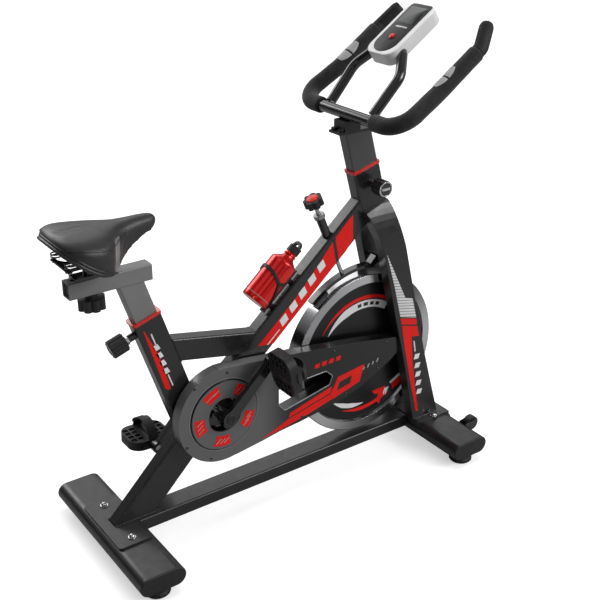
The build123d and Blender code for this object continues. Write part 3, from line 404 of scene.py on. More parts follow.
def saddle_finish():
    """Vinyl with a glossy strip in the side grooves, made paler by a painted highlight."""
    finish = vinyl("saddle_vinyl_grain", color=(0.022, 0.022, 0.023), rough=0.38)
    calc = finish.calc
    place = finish.xyz()
    lean = calc("MULTIPLY", calc("SUBTRACT", place[2], GROOVE_Z / 1000.0), GROOVE_SLOPE)
    middle = calc("ADD", (GROOVE_X - MID_X) / 1000.0, lean)
    distance = calc("ABSOLUTE", calc("SUBTRACT", place[0], middle))
    near = finish.ramp(distance, 0.0085, 0.0105, 1.0, 0.0, kind="LINEAR")
    low = finish.ramp(place[2], 0.811, 0.814, 1.0, 0.0)
    outer = finish.ramp(calc("ABSOLUTE", place[1]), 0.026, 0.028, kind="LINEAR")
    mask = calc("MULTIPLY", calc("MULTIPLY", near, low), outer)
    rough = finish.bsdf.inputs["Roughness"].links[0].from_socket
    finish.set("Roughness", calc("SUBTRACT", rough, calc("MULTIPLY", mask, 0.28)))
    finish.set("Coat Weight", calc("ADD", 0.12, calc("MULTIPLY", mask, 0.8)))
    # the paler colour of the groove strip is a painted highlight; its extra gloss is real
    finish.overlay(mask, (0.20, 0.185, 0.185))
    return finish


def foam_finish():
    """Closed-cell foam: fine open pores and a dull finish."""
    finish = surface("closed_cell_foam", "grip_foam", color=(0.014, 0.014, 0.015), rough=0.80,
                     bumps=((420.0, 0.00012),), bevel=0.0, tone=(60.0, 0.22),
                     rough_noise=(80.0, 0.05), sheen=0.25, specular=0.3)
    pores = finish.node("TexVoronoi", {"Scale": 1500.0, "Vector": finish.place}).outputs[0]
    finish.bump(finish.ramp(pores, 0.05, 0.5), 0.00018)
    return finish


def hatch_finish():
    """Light grey with thin dark slanted lines."""
    pitch = 8.0    # mm between lines, up the side
    slant = 0.24   # fall of a line towards the front
    finish = surface("light_grey_hatch_decal", "console_white", color=(0.80, 0.80, 0.81),
                     rough=0.34, coat=0.3, bumps=((1300.0, 0.00002),), bevel=0.0,
                     tone=(20.0, 0.05))
    calc = finish.calc
    place = finish.xyz()
    height = calc("ADD", place[2], calc("MULTIPLY", place[0], slant))
    phase = calc("FRACT", calc("MULTIPLY", height, 1000.0 / pitch))
    finish.overlay(finish.ramp(phase, 0.16, 0.22, 1.0, 0.0, kind="LINEAR"),
                   (0.09, 0.09, 0.092))
    return finish


def floor_finish():
    """White floor that glows for the camera, brighter far away, and is grey to other rays."""
    finish = Finish("studio_floor_white")
    finish.paint(finish.mix(finish.ramp(finish.noise(3.0), 0.3, 0.7),
                            (0.86, 0.86, 0.865), (0.88, 0.88, 0.88)))
    finish.set("Roughness", 0.55)
    finish.set("Specular IOR Level", 0.25)
    place = finish.xyz()
    glow = finish.ramp(finish.length(place[0], place[1]), 2.0, 7.0, 0.52, 0.85, kind="LINEAR")
    emission = finish.node("Emission", {"Color": (1.0, 1.0, 1.0), "Strength": glow})
    seen = finish.node("AddShader", {0: finish.bsdf.outputs[0], 1: emission.outputs[0]})
    grey = finish.node("BsdfDiffuse", {"Color": (0.42, 0.42, 0.42)})
    camera_ray = finish.node("LightPath").outputs["Is Camera Ray"]
    chosen = finish.node("MixShader", {0: camera_ray, 1: grey.outputs[0], 2: seen.outputs[0]})
    finish.feed(finish.output.inputs[0], chosen.outputs[0])
    return finish


bar_paint = bar_post_finish()
flywheel_metal = flywheel_finish()
cover_plastic = cover_finish()
saddle_vinyl = saddle_finish()
bumper_vinyl = vinyl("saddle_bumper_vinyl", color=(0.016, 0.016, 0.017), rough=0.34)
foam = foam_finish()
hatch = hatch_finish()

# Finish of each CAD piece; the rest are black plastic
CAD_FINISHES = (
    (stabiliser_paint, "rear_stabiliser front_stabiliser rear_mount_plate front_mount_plate "
                       "base_tube"),
    (paint, "rear_strut seat_tube top_tube main_tube head_tube bottom_bracket"),
    (fork_paint, "fork_right fork_left"),
    (pedal_plastic, "pedal_right pedal_left"),
    (strap_rubber, "pedal_right_strap pedal_left_strap"),
    (red_gloss, "tube_collars console_button"),
    (chrome, "mount_bolts"),
    (zinc, "flywheel_axle axle_nuts crank_bearings flywheel_bearings flywheel_pulley"),
    (steel, "crank_spindle pedal_axles brake_rod"),
    (gloss_black, "crank_arms drive_pulley seat_carriage brake_lever brake_sleeve "
                  "saddle_springs"),
    (flywheel_metal, "flywheel"),
    (cover_plastic, "cover_outer"),
    (belt_rubber, "drive_belt"),
    (post_paint, "seat_post"),
    (bar_paint, "bar_post"),
    (bar_black, "handlebar"),
    (saddle_vinyl, "saddle_cushion"),
    (foam, "bar_foam"),
    (foot_rubber, "foot_rear_right foot_rear_left foot_front_right foot_front_left"),
    (console_white, "console_housing"),
    (bottle_red, "bottle"),
)


def paint_cad():
    finishes = {name: finish for finish, names in CAD_FINISHES for name in names.split()}
    for name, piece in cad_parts.items():
        material = finishes.get(name, black_plastic).material
        if not piece.material_slots:
            piece.data.materials.append(material)
        for slot in piece.material_slots:
            slot.material = material


paint_cad()


# ------------------------------------------------------------------ mesh tools
# body is the moving part a piece rides on, sharp the angle in degrees that splits the shading.
def add_object(name, build, finish, body=None, slot=None, sharp=35.0):
    """Turns a bmesh into a smooth-shaded object."""
    bmesh.ops.recalc_face_normals(build, faces=build.faces[:])
    mesh = bpy.data.meshes.new(name)
    build.to_mesh(mesh)
    build.free()
    mesh.materials.append(finish.material)
    for face in mesh.polygons:
        face.use_smooth = True
    mesh.set_sharp_from_angle(angle=math.radians(sharp))
    made = bpy.data.objects.new(name, mesh)
    bpy.context.scene.collection.objects.link(made)
    if body:
        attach(made, body)
        slot or finish.slot
    return made


def skin(build, rings, closed=True):
    """Joins rings of points with quads: a capped solid if closed, else an open sheet."""
    rows = [[build.verts.new(to_row(point)) for point in ring] for ring in rings]
    count = len(rows[0])
    for low, high in zip(rows, rows[1:]):
        for i in range(count if closed else count - 1):
            j = (i + 1) % count
            build.faces.new((low[i], low[j], high[j], high[i]))
    if closed:
        build.faces.new(rows[0][::-1])
        build.faces.new(rows[-1])


def split_large_faces(build):
    bmesh.ops.triangulate(build, faces=[face for face in build.faces if len(face.verts) > 4])


def loft(name, rings, finish, body, slot=None, sharp=35.0):
    build = bmesh.new()
    skin(build, rings)
    return add_object(name, build, finish, body, slot, sharp)


def lathe(name, origin, axis, profile, finish, body, segs=48, lobes=0, lobe_depth=0.0,
          sharp=35.0):
    """Turns a profile of (radius, height) round an axis; lobes dent the outline."""
    axis = Vector(axis).normalized()
    across = LEFT if abs(axis.y) < 0.9 else Vector((1, 0, 0))
    across = (across - axis * across.dot(axis)).normalized()
    other = axis.cross(across)
    rings = []
    for radius, height in profile:
        ring = []
        for i in range(segs):
            angle = 2 * math.pi * i / segs
            dent = 1.0 - lobe_depth * (0.5 + 0.5 * math.cos(lobes * angle)) if lobes else 1.0
            spoke = across * math.cos(angle) + other * math.sin(angle)
            ring.append(origin + axis * height + spoke * radius * dent)
        rings.append(ring)
    return loft(name, rings, finish, body, sharp=sharp)


def rounded_path(points, radii, step):
    """A polyline with its corners rounded, resampled at even steps."""
    raw = [points[0]]
    for before, corner, after, radius in zip(points, points[1:], points[2:], radii):
        back, ahead = (before - corner).normalized(), (after - corner).normalized()
        angle = back.angle(ahead)
        reach = radius / math.tan(angle / 2)
        centre = corner + (back + ahead).normalized() * (radius / math.sin(angle / 2))
        first, last = corner + back * reach - centre, corner + ahead * reach - centre
        sweep = math.pi - angle
        count = max(4, int(sweep * radius / step))
        for j in range(count + 1):
            share = j / count
            spoke = (first * math.sin((1 - share) * sweep)
                     + last * math.sin(share * sweep)) / math.sin(sweep)
            raw.append(centre + spoke)
    raw.append(points[-1])

    path = [raw[0]]
    carry = 0.0
    for start, end in zip(raw, raw[1:]):
        length = (end - start).length
        if length < 1e-6:
            continue
        reach = step - carry
        while reach <= length:
            path.append(start + (end - start) * (reach / length))
            reach += step
        carry = (carry + length) % step
    if (path[-1] - raw[-1]).length > step * 0.3:
        path.append(raw[-1])
    else:
        path[-1] = raw[-1]
    return path


def frames(path, up):
    """(point, tangent, across, other) along a path, carried on without twist."""
    last = len(path) - 1
    across = Vector(up)
    result = []
    for i, point in enumerate(path):
        tangent = (path[min(i + 1, last)] - path[max(i - 1, 0)]).normalized()
        across = (across - tangent * across.dot(tangent)).normalized()
        result.append((point, tangent, across, tangent.cross(across)))
    return result


def tube(name, path, up, radius, finish, body, segs=28, sharp=40.0, round_end=0.0):
    """A tube along a path. radius is a number or a function of (share of path, angle, index)."""
    stations = frames(path, up)
    rings = []
    for i, (point, _, across, other) in enumerate(stations):
        ring = []
        for j in range(segs):
            angle = 2 * math.pi * j / segs
            size = radius(i / (len(stations) - 1), angle, i) if callable(radius) else radius
            ring.append(point + (across * math.cos(angle) + other * math.sin(angle)) * size)
        rings.append(ring)
    if round_end:
        for end, sign in ((0, -1), (-1, 1)):
            tangent = stations[end][1]
            base = rings[end]
            centre = sum(base, Vector()) / len(base)
            extra = []
            for k in range(1, 5):
                angle = math.pi / 2 * k / 4.5
                shrink = 1 - round_end * (1 - math.cos(angle))
                push = tangent * sign * round_end * 16.0 * math.sin(angle)
                extra.append([centre + (point - centre) * shrink + push for point in base])
            rings = rings + extra if end else extra[::-1] + rings
    return loft(name, rings, finish, body, sharp=sharp)


def cut_grid(build, step):
    """Cuts flat faces into a grid so that they can follow a curved surface."""
    for axis, normal in ((0, Vector((1, 0, 0))), (2, Vector((0, 0, 1)))):
        # both extents stay as they are while cutting, since the cuts lie inside them
        places = [vert.co[axis] for vert in build.verts]
        place = min(places) + step
        while place < max(places):
            geometry = build.verts[:] + build.edges[:] + build.faces[:]
            bmesh.ops.bisect_plane(build, geom=geometry, plane_co=normal * place,
                                   plane_no=normal)
            place += step


DECAL_LIFT = 0.06    # gap between a decal and its surface


def decal(name, shapes, finish, side, depth, body="frame", thick=0.35, grid=0.0):
    """Thin plates from (x, z) outlines, on the side whose sign of y is given.

    depth is the surface's distance from the middle plane: a number, or a function of the
    vertex place.
    """
    build = bmesh.new()
    for shape in shapes:
        piece = bmesh.new()
        piece.faces.new([piece.verts.new(to_row((x, 0, z))) for x, z in shape])
        if grid:
            cut_grid(piece, grid / 1000.0)
        for vert in piece.verts:
            surface_depth = depth(vert.co) if callable(depth) else depth
            vert.co.y = side * (surface_depth + DECAL_LIFT) / 1000.0
        raised = bmesh.ops.extrude_face_region(piece, geom=piece.faces[:])
        for element in raised["geom"]:
            if isinstance(element, bmesh.types.BMVert):
                element.co.y += side * thick / 1000.0
        holder = bpy.data.meshes.new("tmp")
        piece.to_mesh(holder)
        piece.free()
        build.from_mesh(holder)
        bpy.data.meshes.remove(holder)
    split_large_faces(build)
    return add_object(name, build, finish, body, sharp=20.0)


def decal_pair(name, shapes, finish, depth):
    for side, sign in SIDES:
        decal(name + "_" + side, shapes, finish, sign, depth)


def slant_bar(centre, direction, length, width, lean=0):
    """A bar in the side plane along a direction; lean shears its two long edges."""
    along = Vector(direction).normalized()
    half = turned(along) * width / 2
    shift = along * lean
    start = Vector(centre) - along * length / 2
    end = Vector(centre) + along * length / 2
    return [tuple(start - half - shift), tuple(end - half - shift),
            tuple(end + half + shift), tuple(start + half + shift)]


def round_rect(width, height, radius, steps):
    x, y = width / 2 - radius, height / 2 - radius
    points = []
    for corner_x, corner_y, first in ((x, y, 0), (-x, y, 90), (-x, -y, 180), (x, -y, 270)):
        for i in range(steps + 1):
            angle = math.radians(first + 90.0 * i / steps)
            points.append((corner_x + radius * math.cos(angle),
                           corner_y + radius * math.sin(angle)))
    return points


def plate(name, origin, along, normal, outline, thick, bevel, finish, body, slot=None):
    """A plate with a softened top edge; its outline lies in the plane across the normal."""
    along, normal = Vector(along).normalized(), Vector(normal).normalized()
    across = normal.cross(along)
    mid_x = sum(x for x, _ in outline) / len(outline)
    mid_y = sum(y for _, y in outline) / len(outline)
    reach_x = max(abs(x - mid_x) for x, _ in outline)
    reach_y = max(abs(y - mid_y) for _, y in outline)

    def ring(inset, height):
        return [origin + along * (mid_x + (x - mid_x) * (1 - inset / reach_x))
                + across * (mid_y + (y - mid_y) * (1 - inset / reach_y))
                + normal * height for x, y in outline]

    rings = [ring(0, 0), ring(0, thick - bevel)]
    for k in range(1, 4):
        angle = math.pi / 2 * k / 3
        rings.append(ring(bevel * (1 - math.cos(angle)),
                          thick - bevel + bevel * math.sin(angle)))
    return loft(name, rings, finish, body, slot, sharp=30.0)


def cut_corners(points, rounds):
    """Smooths a polyline by cutting its corners again and again."""
    for _ in range(rounds):
        cut = [points[0]]
        for start, end in zip(points, points[1:]):
            cut += [start * 0.75 + end * 0.25, start * 0.25 + end * 0.75]
        points = cut + [points[-1]]
    return points


# ------------------------------------------------------------------ saddle
# Half width: (x, y)
SADDLE_PLAN = [
    (-97, 0), (-96, 30), (-93, 55), (-86, 74), (-72, 90), (-56, 97), (-40, 99), (-22, 98),
    (-4, 93), (10, 85), (24, 72), (38, 55), (52, 41), (68, 32), (92, 25), (115, 22), (135, 19),
    (147, 12), (152, 0)]
# Height along the middle: (x, z)
SADDLE_TOP = [
    (-97, 820), (-90, 830), (-76, 834), (-50, 835), (0, 833), (60, 832), (110, 832.5),
    (140, 831), (149, 826), (152, 817)]
# Height of the lower rim: (x, z)
SADDLE_LOW = [
    (-97, 808), (-92, 799), (-80, 790), (-62, 778), (-44, 765), (-26, 754), (-10, 746),
    (6, 741), (18, 740), (30, 743), (44, 750), (56, 758), (68, 766), (86, 777), (106, 787),
    (122, 793), (140, 801), (152, 810)]
# Stations along x
SADDLE_STATIONS = ([-96.5, -95.5, -93.5, -90.5, -86.5, -81] + [-75 + 5 * i for i in range(44)]
                   + [146, 149, 151])
RIM_POINTS = 10    # plan points, from the rear, that the bumper follows
SIDE_POWER = 0.92


def interp(table, x):
    if x <= table[0][0]:
        return table[0][1]
    for start, end in zip(table, table[1:]):
        if x <= end[0]:
            share = (x - start[0]) / (end[0] - start[0])
            return start[1] + (end[1] - start[1]) * share
    return table[-1][1]


def smooth_interp(table, x, reach=5.0):
    return (interp(table, x - reach) + 2 * interp(table, x) + interp(table, x + reach)) / 4.0


def saddle_shape(x):
    """Half width, top, lower rim and crown exponent at a station."""
    inside = -94 < x < 148
    half = max(1.2, smooth_interp(SADDLE_PLAN, x, 4.0) if inside else interp(SADDLE_PLAN, x))
    top, low = smooth_interp(SADDLE_TOP, x), smooth_interp(SADDLE_LOW, x)
    drop = min(1.0, max(0.0, (top - low) / 60.0))
    return half, top, low, 0.36 + 0.25 * (1 - drop)


def saddle_section(x):
    """A closed ring: over the top from one rim to the other, and back along the underside."""
    half, top, low, power = saddle_shape(x)
    dish = 3.0 * math.exp(-((x - 10) / 60.0) ** 2)
    wall = min(12.0, half * 0.35)
    steps = 26
    outer, inner = [], []
    for i in range(-steps, steps + 1):
        share = i / steps
        angle = abs(share) * math.pi / 2
        side = math.copysign(math.sin(angle) ** SIDE_POWER, share)
        crown = math.cos(angle) ** power
        y = half * side
        z = low + (top - low) * crown - dish * math.exp(-(y / 12.0) ** 2)
        # the wings draw in under the widest line
        if abs(share) > 0.9:
            y *= 1.0 - 0.06 * ((abs(share) - 0.9) / 0.1) ** 2
        outer.append(Vector((x, y, z)))
        under = low + 1.5 + max(2.0, (top - 25.0) - low - 1.5) * crown
        inner.append(Vector((x, (half - wall) * side * 0.97, min(under, top - 6.0))))
    return outer + inner[::-1]


def apply_modifier(target, name, kind, **settings):
    modifier = target.modifiers.new(name, kind)
    for key, value in settings.items():
        setattr(modifier, key, value)
    for other in bpy.context.selected_objects:
        other.select_set(False)
    target.select_set(True)
    bpy.context.view_layer.objects.active = target
    bpy.ops.object.modifier_apply(modifier=name)


def swell(pad):
    """Pumps up the padding as pressurised cloth, by 5 mm at most."""
    rest = [vert.co.copy() for vert in pad.data.vertices]
    group = pad.vertex_groups.new(name="pin")
    for vert in pad.data.vertices:
        x, y, z = to_design(vert.co)
        low = smooth_interp(SADDLE_LOW, x)
        # the underside and the lower rim are held, the top is free
        held = vert.normal.z < -0.15 or z < low + 14
        group.add([vert.index], 1.0 if held else 0.0, "REPLACE")
    cloth = pad.modifiers.new("Cloth", "CLOTH")
    settings = cloth.settings
    settings.quality = 6
    settings.mass = 0.3
    settings.tension_stiffness = 18
    settings.compression_stiffness = 18
    settings.shear_stiffness = 8
    settings.bending_stiffness = 2.0
    settings.use_pressure = True
    settings.uniform_pressure_force = 4.0
    settings.vertex_group_mass = "pin"
    settings.effector_weights.gravity = 0.0
    cloth.collision_settings.use_collision = False
    cloth.collision_settings.use_self_collision = False
    cloth.point_cache.frame_start = 1
    cloth.point_cache.frame_end = 20
    for i in range(1, 21):
        bpy.context.scene.frame_set(i)
    graph = bpy.context.evaluated_depsgraph_get()
    moved = [vert.co.copy() for vert in pad.evaluated_get(graph).data.vertices]
    pad.modifiers.remove(cloth)
    limit = 0.005
    for vert, start, end in zip(pad.data.vertices, rest, moved):
        move = end - start
        if move.length > limit:
            move = move.normalized() * limit
        vert.co = start + move
    bpy.context.scene.frame_set(1)
    pad.data.update()


def press_grooves(pad):
    """Presses in the channel along the middle and the groove on each side."""
    for vert in pad.data.vertices:
        x, y, z = to_design(vert.co)
        normal = vert.normal
        depth = 0.0
        if normal.z > 0.3 and -80 < x < 100:
            fade = min(1.0, (x + 80) / 20.0, (100 - x) / 30.0)
            depth += 2.2 * math.exp(-(y / 5.0) ** 2) * fade
        groove_x = GROOVE_X + (z - GROOVE_Z) * GROOVE_SLOPE
        if abs(y) > 24 and 752 < z < 815:
            depth += 4.6 * math.exp(-((x - groove_x) / 8.5) ** 2) * min(1.0, (815 - z) / 14.0)
        vert.co -= normal * (depth / 1000.0)


def build_saddle_pad():
    build = bmesh.new()
    skin(build, [saddle_section(x) for x in SADDLE_STATIONS])
    split_large_faces(build)
    pad = add_object("saddle_pad", build, saddle_vinyl, sharp=180.0)
    apply_modifier(pad, "Remesh", "REMESH", mode="VOXEL", voxel_size=0.0045,
                   use_smooth_shade=True)
    apply_modifier(pad, "Smooth", "SMOOTH", factor=0.5, iterations=3)
    swell(pad)
    press_grooves(pad)
    apply_modifier(pad, "Sub", "SUBSURF", levels=1, render_levels=1)
    for face in pad.data.polygons:
        face.use_smooth = True
    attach(pad, "saddle_body")
    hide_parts("saddle_cushion")


def build_saddle_trim():
    """The bumper band round the rear rim, and a piping seam on each side."""
    rim = [Vector((x * 0.985, y * 0.955, smooth_interp(SADDLE_LOW, x) + (8 if x > -60 else 10)))
           for x, y in reversed(SADDLE_PLAN[:RIM_POINTS])]
    rim += [Vector((point.x, -point.y, point.z)) for point in rim[::-1][1:]]

    def band_radius(share, angle, _):
        taper = min(1.0, 8 * share, 8 * (1 - share))
        return (3.0 + 4.6 * abs(math.sin(angle))) * (0.35 + 0.65 * taper)

    tube("saddle_bumper", cut_corners(rim, 3), (0, 1, 0), band_radius, bumper_vinyl,
         "saddle_body", segs=18, round_end=0.9)
    angle = math.radians(70)    # where the seam lies on the section, from the crown
    for side, sign in SIDES:
        seam = []
        for x in range(-84, 140, 6):
            half, top, low, power = saddle_shape(x)
            seam.append(Vector((x, sign * (half * math.sin(angle) ** SIDE_POWER + 0.2),
                                low + (top - low) * math.cos(angle) ** power + 0.4)))
        tube("saddle_seam_" + side, cut_corners(seam, 1), (0, 0, 1), 0.9, bumper_vinyl,
             "saddle_body", segs=10)


build_saddle_pad()
build_saddle_trim()

# ------------------------------------------------------------------ handlebar foam
# Centre line of the right-hand grip, from the inner end outwards and forwards
BAR_Y = 183.0
BAR_INNER = Vector((671, -99, 965))
BAR_CORNER = Vector((671, -BAR_Y - 6, 965))
BAR_BEND = Vector((786, -BAR_Y, 1030))
BAR_TURN = Vector((915, -BAR_Y + 1, 1119))
BAR_TIP = Vector((953.6, -157.3, 1162.6))
BAR_ALONG = (BAR_TURN - BAR_BEND).normalized()
SLEEVE_END = BAR_BEND + (BAR_TURN - BAR_BEND) * 0.90


def sleeve_radius(share, angle, _):
    ends = min(1.0, share * 90, (1 - share) * 90)
    return (18.4 + 1.6 * math.sqrt(max(0.0, ends)) + 0.12 * math.sin(share * 40)
            + 0.10 * math.sin(3 * angle + share * 17))


def grip_radius(share, angle, i):
    ends = min(1.0, share * 25, (1 - share) * 12)
    ribs = 0.45 * math.sin(angle * 14 + i * 0.55) * math.sin(angle * 14 - i * 0.55)
    return 15.0 + 2.2 * math.sqrt(max(0.0, ends)) + (ribs if 0.06 < share < 0.94 else 0.0)


def build_pulse_plate(name, start, end, place):
    """A curved plate on the sleeve, between two distances along the bar."""
    origin, along = place(BAR_BEND), place(BAR_ALONG)
    up, inward = Vector((-0.568, 0, 0.823)), place(LEFT)
    rows, columns = 26, 14
    rings = []
    for i in range(rows + 1):
        share = i / rows
        reach = start + (end - start) * share
        # half of the angle that the plate covers, following an ellipse
        half = 46.0 * math.sqrt(max(0.0, 1 - ((reach - 35.5) / 37.0) ** 2)) + 2.0
        centre = origin + along * (4 + reach)
        row = []
        for j in range(columns + 1):
            across = j / columns
            angle = math.radians(-half + 2 * half * j / columns)
            edge = min(1.0, 6 * min(share, 1 - share) + 0.15, 6 * min(across, 1 - across) + 0.15)
            radius = 19.9 + 0.9 * math.sqrt(edge)
            row.append(centre + (up * math.cos(angle + 0.25)
                                 + inward * math.sin(angle + 0.25)) * radius)
        rings.append(row)
    build = bmesh.new()
    skin(build, rings, closed=False)
    bmesh.ops.solidify(build, geom=build.faces[:], thickness=0.0012)
    add_object(name, build, pulse_steel, "bar_post_body", sharp=50)


def build_grip(side, sign):
    def place(point):
        """Takes a right-hand point or direction to this side."""
        return Vector((point.x, -sign * point.y, point.z))

    path = [place(point) for point in (BAR_INNER, BAR_CORNER, BAR_BEND, SLEEVE_END)]
    sleeve = tube("grip_sleeve_" + side, rounded_path(path, [56, 90], 2.5), (0, 0, 1),
                  sleeve_radius, foam, "bar_post_body", segs=40)
    if side == "right":
        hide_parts("bar_foam")
    path = [place(point) for point in (SLEEVE_END + BAR_ALONG * 0.6, BAR_TURN, BAR_TIP)]
    tube("end_grip_" + side, rounded_path(path, [26], 1.0), (0, 0, 1), grip_radius, grip_rubber,
         "bar_post_body", segs=84, sharp=60, round_end=0.35)
    for k, (start, end) in enumerate(((2.0, 33.0), (38.0, 69.0))):
        build_pulse_plate("pulse_plate_%s_%d" % (side, k + 1), start, end, place)


for side, sign in SIDES:
    build_grip(side, sign)

# ------------------------------------------------------------------ toe straps
CRANK_ANGLE = math.radians(43.5)
CRANK_LENGTH = 165.5
PEDAL_TURNS = {"right": 78.0, "left": 3.0}    # degrees
# The strap arches over the pedal as an ellipse: centre and half axes in (y, z)
STRAP_Y, STRAP_Z = 138, -12
STRAP_HALF_Y, STRAP_HALF_Z = 49.6, 60.4
# Cross section of the strap: (across, out, 1 where the ridges rise)
STRAP_SECTION = (
    (-12.6, -1.3, 0), (-12.9, 0.0, 0), (-12.3, 1.3, 0), (-9, 1.45, 0), (-8.2, 1.0, 1),
    (8.2, 1.0, 1), (9, 1.45, 0), (12.3, 1.3, 0), (12.9, 0.0, 0), (12.6, -1.3, 0))
# Layers of the buckle: (height, inset)
BUCKLE_LAYERS = ((-0.5, 0.0), (2.6, 0.0), (3.4, 0.6), (3.8, 1.6))


def strap_normal(angle):
    return Vector((math.cos(angle) / STRAP_HALF_Y, math.sin(angle) / STRAP_HALF_Z)).normalized()


def build_toe_strap(side, sign):
    turn = math.radians(PEDAL_TURNS[side])
    tip_x = CRANK_AXLE[0] - sign * CRANK_LENGTH * math.cos(CRANK_ANGLE)
    tip_z = CRANK_AXLE[1] - sign * CRANK_LENGTH * math.sin(CRANK_ANGLE)

    def pedal_point(x, y, z):
        """A point in the turned pedal's own axes, y outwards."""
        return Vector((tip_x + x * math.cos(turn) + z * math.sin(turn), sign * y,
                       tip_z - x * math.sin(turn) + z * math.cos(turn)))

    rings = []
    steps = 64
    for i in range(steps + 1):
        angle = math.radians(15 + 150 * i / steps)
        ridge = 0.5 if 10 < i < 54 and (i // 2) % 2 else 0.0
        y = STRAP_Y + STRAP_HALF_Y * math.cos(angle)
        z = STRAP_Z + STRAP_HALF_Z * math.sin(angle)
        normal = strap_normal(angle)
        ring = []
        for across, out, ridged in STRAP_SECTION:
            out += ridge * ridged
            ring.append(pedal_point(1.0 + across, y + normal.x * out, z + normal.y * out))
        rings.append(ring)
    strap = loft("toe_strap_" + side, rings, strap_rubber, side + "_pedal", sharp=40)
    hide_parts("pedal_%s_strap" % side)

    # buckle on the outer side of the strap
    angle = math.radians(40)
    y = STRAP_Y + (STRAP_HALF_Y + 1.9) * math.cos(angle)
    z = STRAP_Z + (STRAP_HALF_Z + 2.0) * math.sin(angle)
    normal = strap_normal(angle)
    along = Vector((-STRAP_HALF_Y * math.sin(angle), STRAP_HALF_Z * math.cos(angle))).normalized()
    rings = [[pedal_point(1.0 + across, y + along.x * up + normal.x * height,
                          z + along.y * up + normal.y * height)
              for across, up in round_rect(31 - 2 * inset, 16 - 2 * inset, 4, 5)]
             for height, inset in BUCKLE_LAYERS]
    loft("strap_buckle_" + side, rings, black_plastic, side + "_pedal", sharp=30)


for side, sign in SIDES:
    build_toe_strap(side, sign)

# ------------------------------------------------------------------ console
SCREEN_X = 44    # centre of the screen along the console


def console_plate(name, height, outline, thick, bevel, finish, slot=None):
    plate(name, CONSOLE_CENTRE + CONSOLE_NORMAL * height, CONSOLE_ALONG, CONSOLE_NORMAL,
          outline, thick, bevel, finish, "bar_post_body", slot)


def build_console():
    # black face: a half round at the rear end and two small rounded corners at the front
    face = []
    for i in range(25):
        angle = math.radians(90 + 180 * i / 24)
        face.append((-47 + 33 * math.cos(angle), 37 * math.sin(angle)))
    for y, first in ((-29, 270), (29, 0)):
        for i in range(7):
            angle = math.radians(first + 90 * i / 6)
            face.append((76 + 8 * math.cos(angle), y + 8 * math.sin(angle)))
    console_plate("console_face", 0.05, face, 0.9, 0.4, panel_black)
    screen = round_rect(54, 56, 5, 6)
    for name, height, scale, finish in (("console_screen_rim", 0.95, 1.07, gloss_black),
                                        ("console_screen", 1.3, 1.0, glass)):
        outline = [(SCREEN_X + x * scale, y * scale) for x, y in screen]
        console_plate(name, height, outline, 0.5, 0.2, finish)
    mark = [(x + 4, y) for x, y in round_rect(4.5, 40, 2, 4)]
    console_plate("console_mark", 0.95, mark, 0.3, 0.1, silver_print, "console_white")

    button = CONSOLE_CENTRE - CONSOLE_ALONG * 30
    lathe("console_button_ring", button + CONSOLE_NORMAL * 0.9, CONSOLE_NORMAL,
          [(8.4, 0), (11.2, 0), (11.2, 0.5), (10.6, 1.0), (9.0, 1.0), (8.4, 0.6), (8.4, 0.03)],
          panel_black, "bar_post_body", segs=40)
    lathe("console_button_cap", button + CONSOLE_NORMAL * 2.52, CONSOLE_NORMAL,
          [(7.7, 0), (7.6, 0.8), (6.6, 1.7), (4.5, 2.4), (2.0, 2.75), (0.4, 2.8)],
          red_gloss, "console_button_body", segs=40)


build_console()


# ------------------------------------------------------------------ frame decals, as (x, z)
def build_seat_tube_decals():
    stripe = [(93.5, 566), (97, 563), (128, 495), (153.3, 400), (146, 399.5), (139.0, 405)]
    decal_pair("seat_tube_stripe", [stripe], red_decal, SEAT_FACE)
    marks = [slant_bar((123.5 + 7.0 * k, 516 - 22.0 * k), (0.952, 0.305),
                       length=13.0, width=15.0, lean=-1.5) for k in range(4)]
    marks.append([(111, 553), (114, 554), (124.5, 522), (121.5, 521)])
    marks.append([(147, 438), (150, 439), (160.5, 407), (157.5, 406)])
    decal_pair("seat_tube_marks", marks, white_decal, SEAT_FACE)


def on_main_tube(points):
    """(along, across) on the main tube to (x, z)."""
    origin, direction, _ = MAIN_TUBE
    return [tuple(origin + direction * along + turned(direction) * across)
            for along, across in points]


def build_main_tube_decals():
    band = [(-165, 3), (-135, -31.5)]
    band += [(along, -31.5) for along in range(-110, 181, 30)]
    band += [(192, -26), (206, -8), (233, 24), (200, 24), (163, 22), (120, 17), (91, 12.5),
             (50, 8), (0, 4.0), (-90, 2.6)]
    decal_pair("main_tube_band", [on_main_tube(band)], red_decal, MAIN_FACE)
    slash = [(118, -31.9), (128, -31.9), (160, 22.4), (149, 20.8)]
    decal_pair("main_tube_slash", [on_main_tube(slash)], black_decal, MAIN_FACE + 0.4)
    marks = []
    for k in range(5):
        along, across = -74 + 40.0 * k, -10.5 + 3.0 * k
        marks.append([(along - 15, across - 10), (along + 9, across - 10),
                      (along + 15, across + 10), (along - 9, across + 10)])
    marks.append([(-146, -20), (-98, -20), (-99.5, -17.0), (-147.5, -17.0)])
    decal_pair("main_tube_marks", [on_main_tube(mark) for mark in marks], white_decal,
               MAIN_FACE + 0.45)


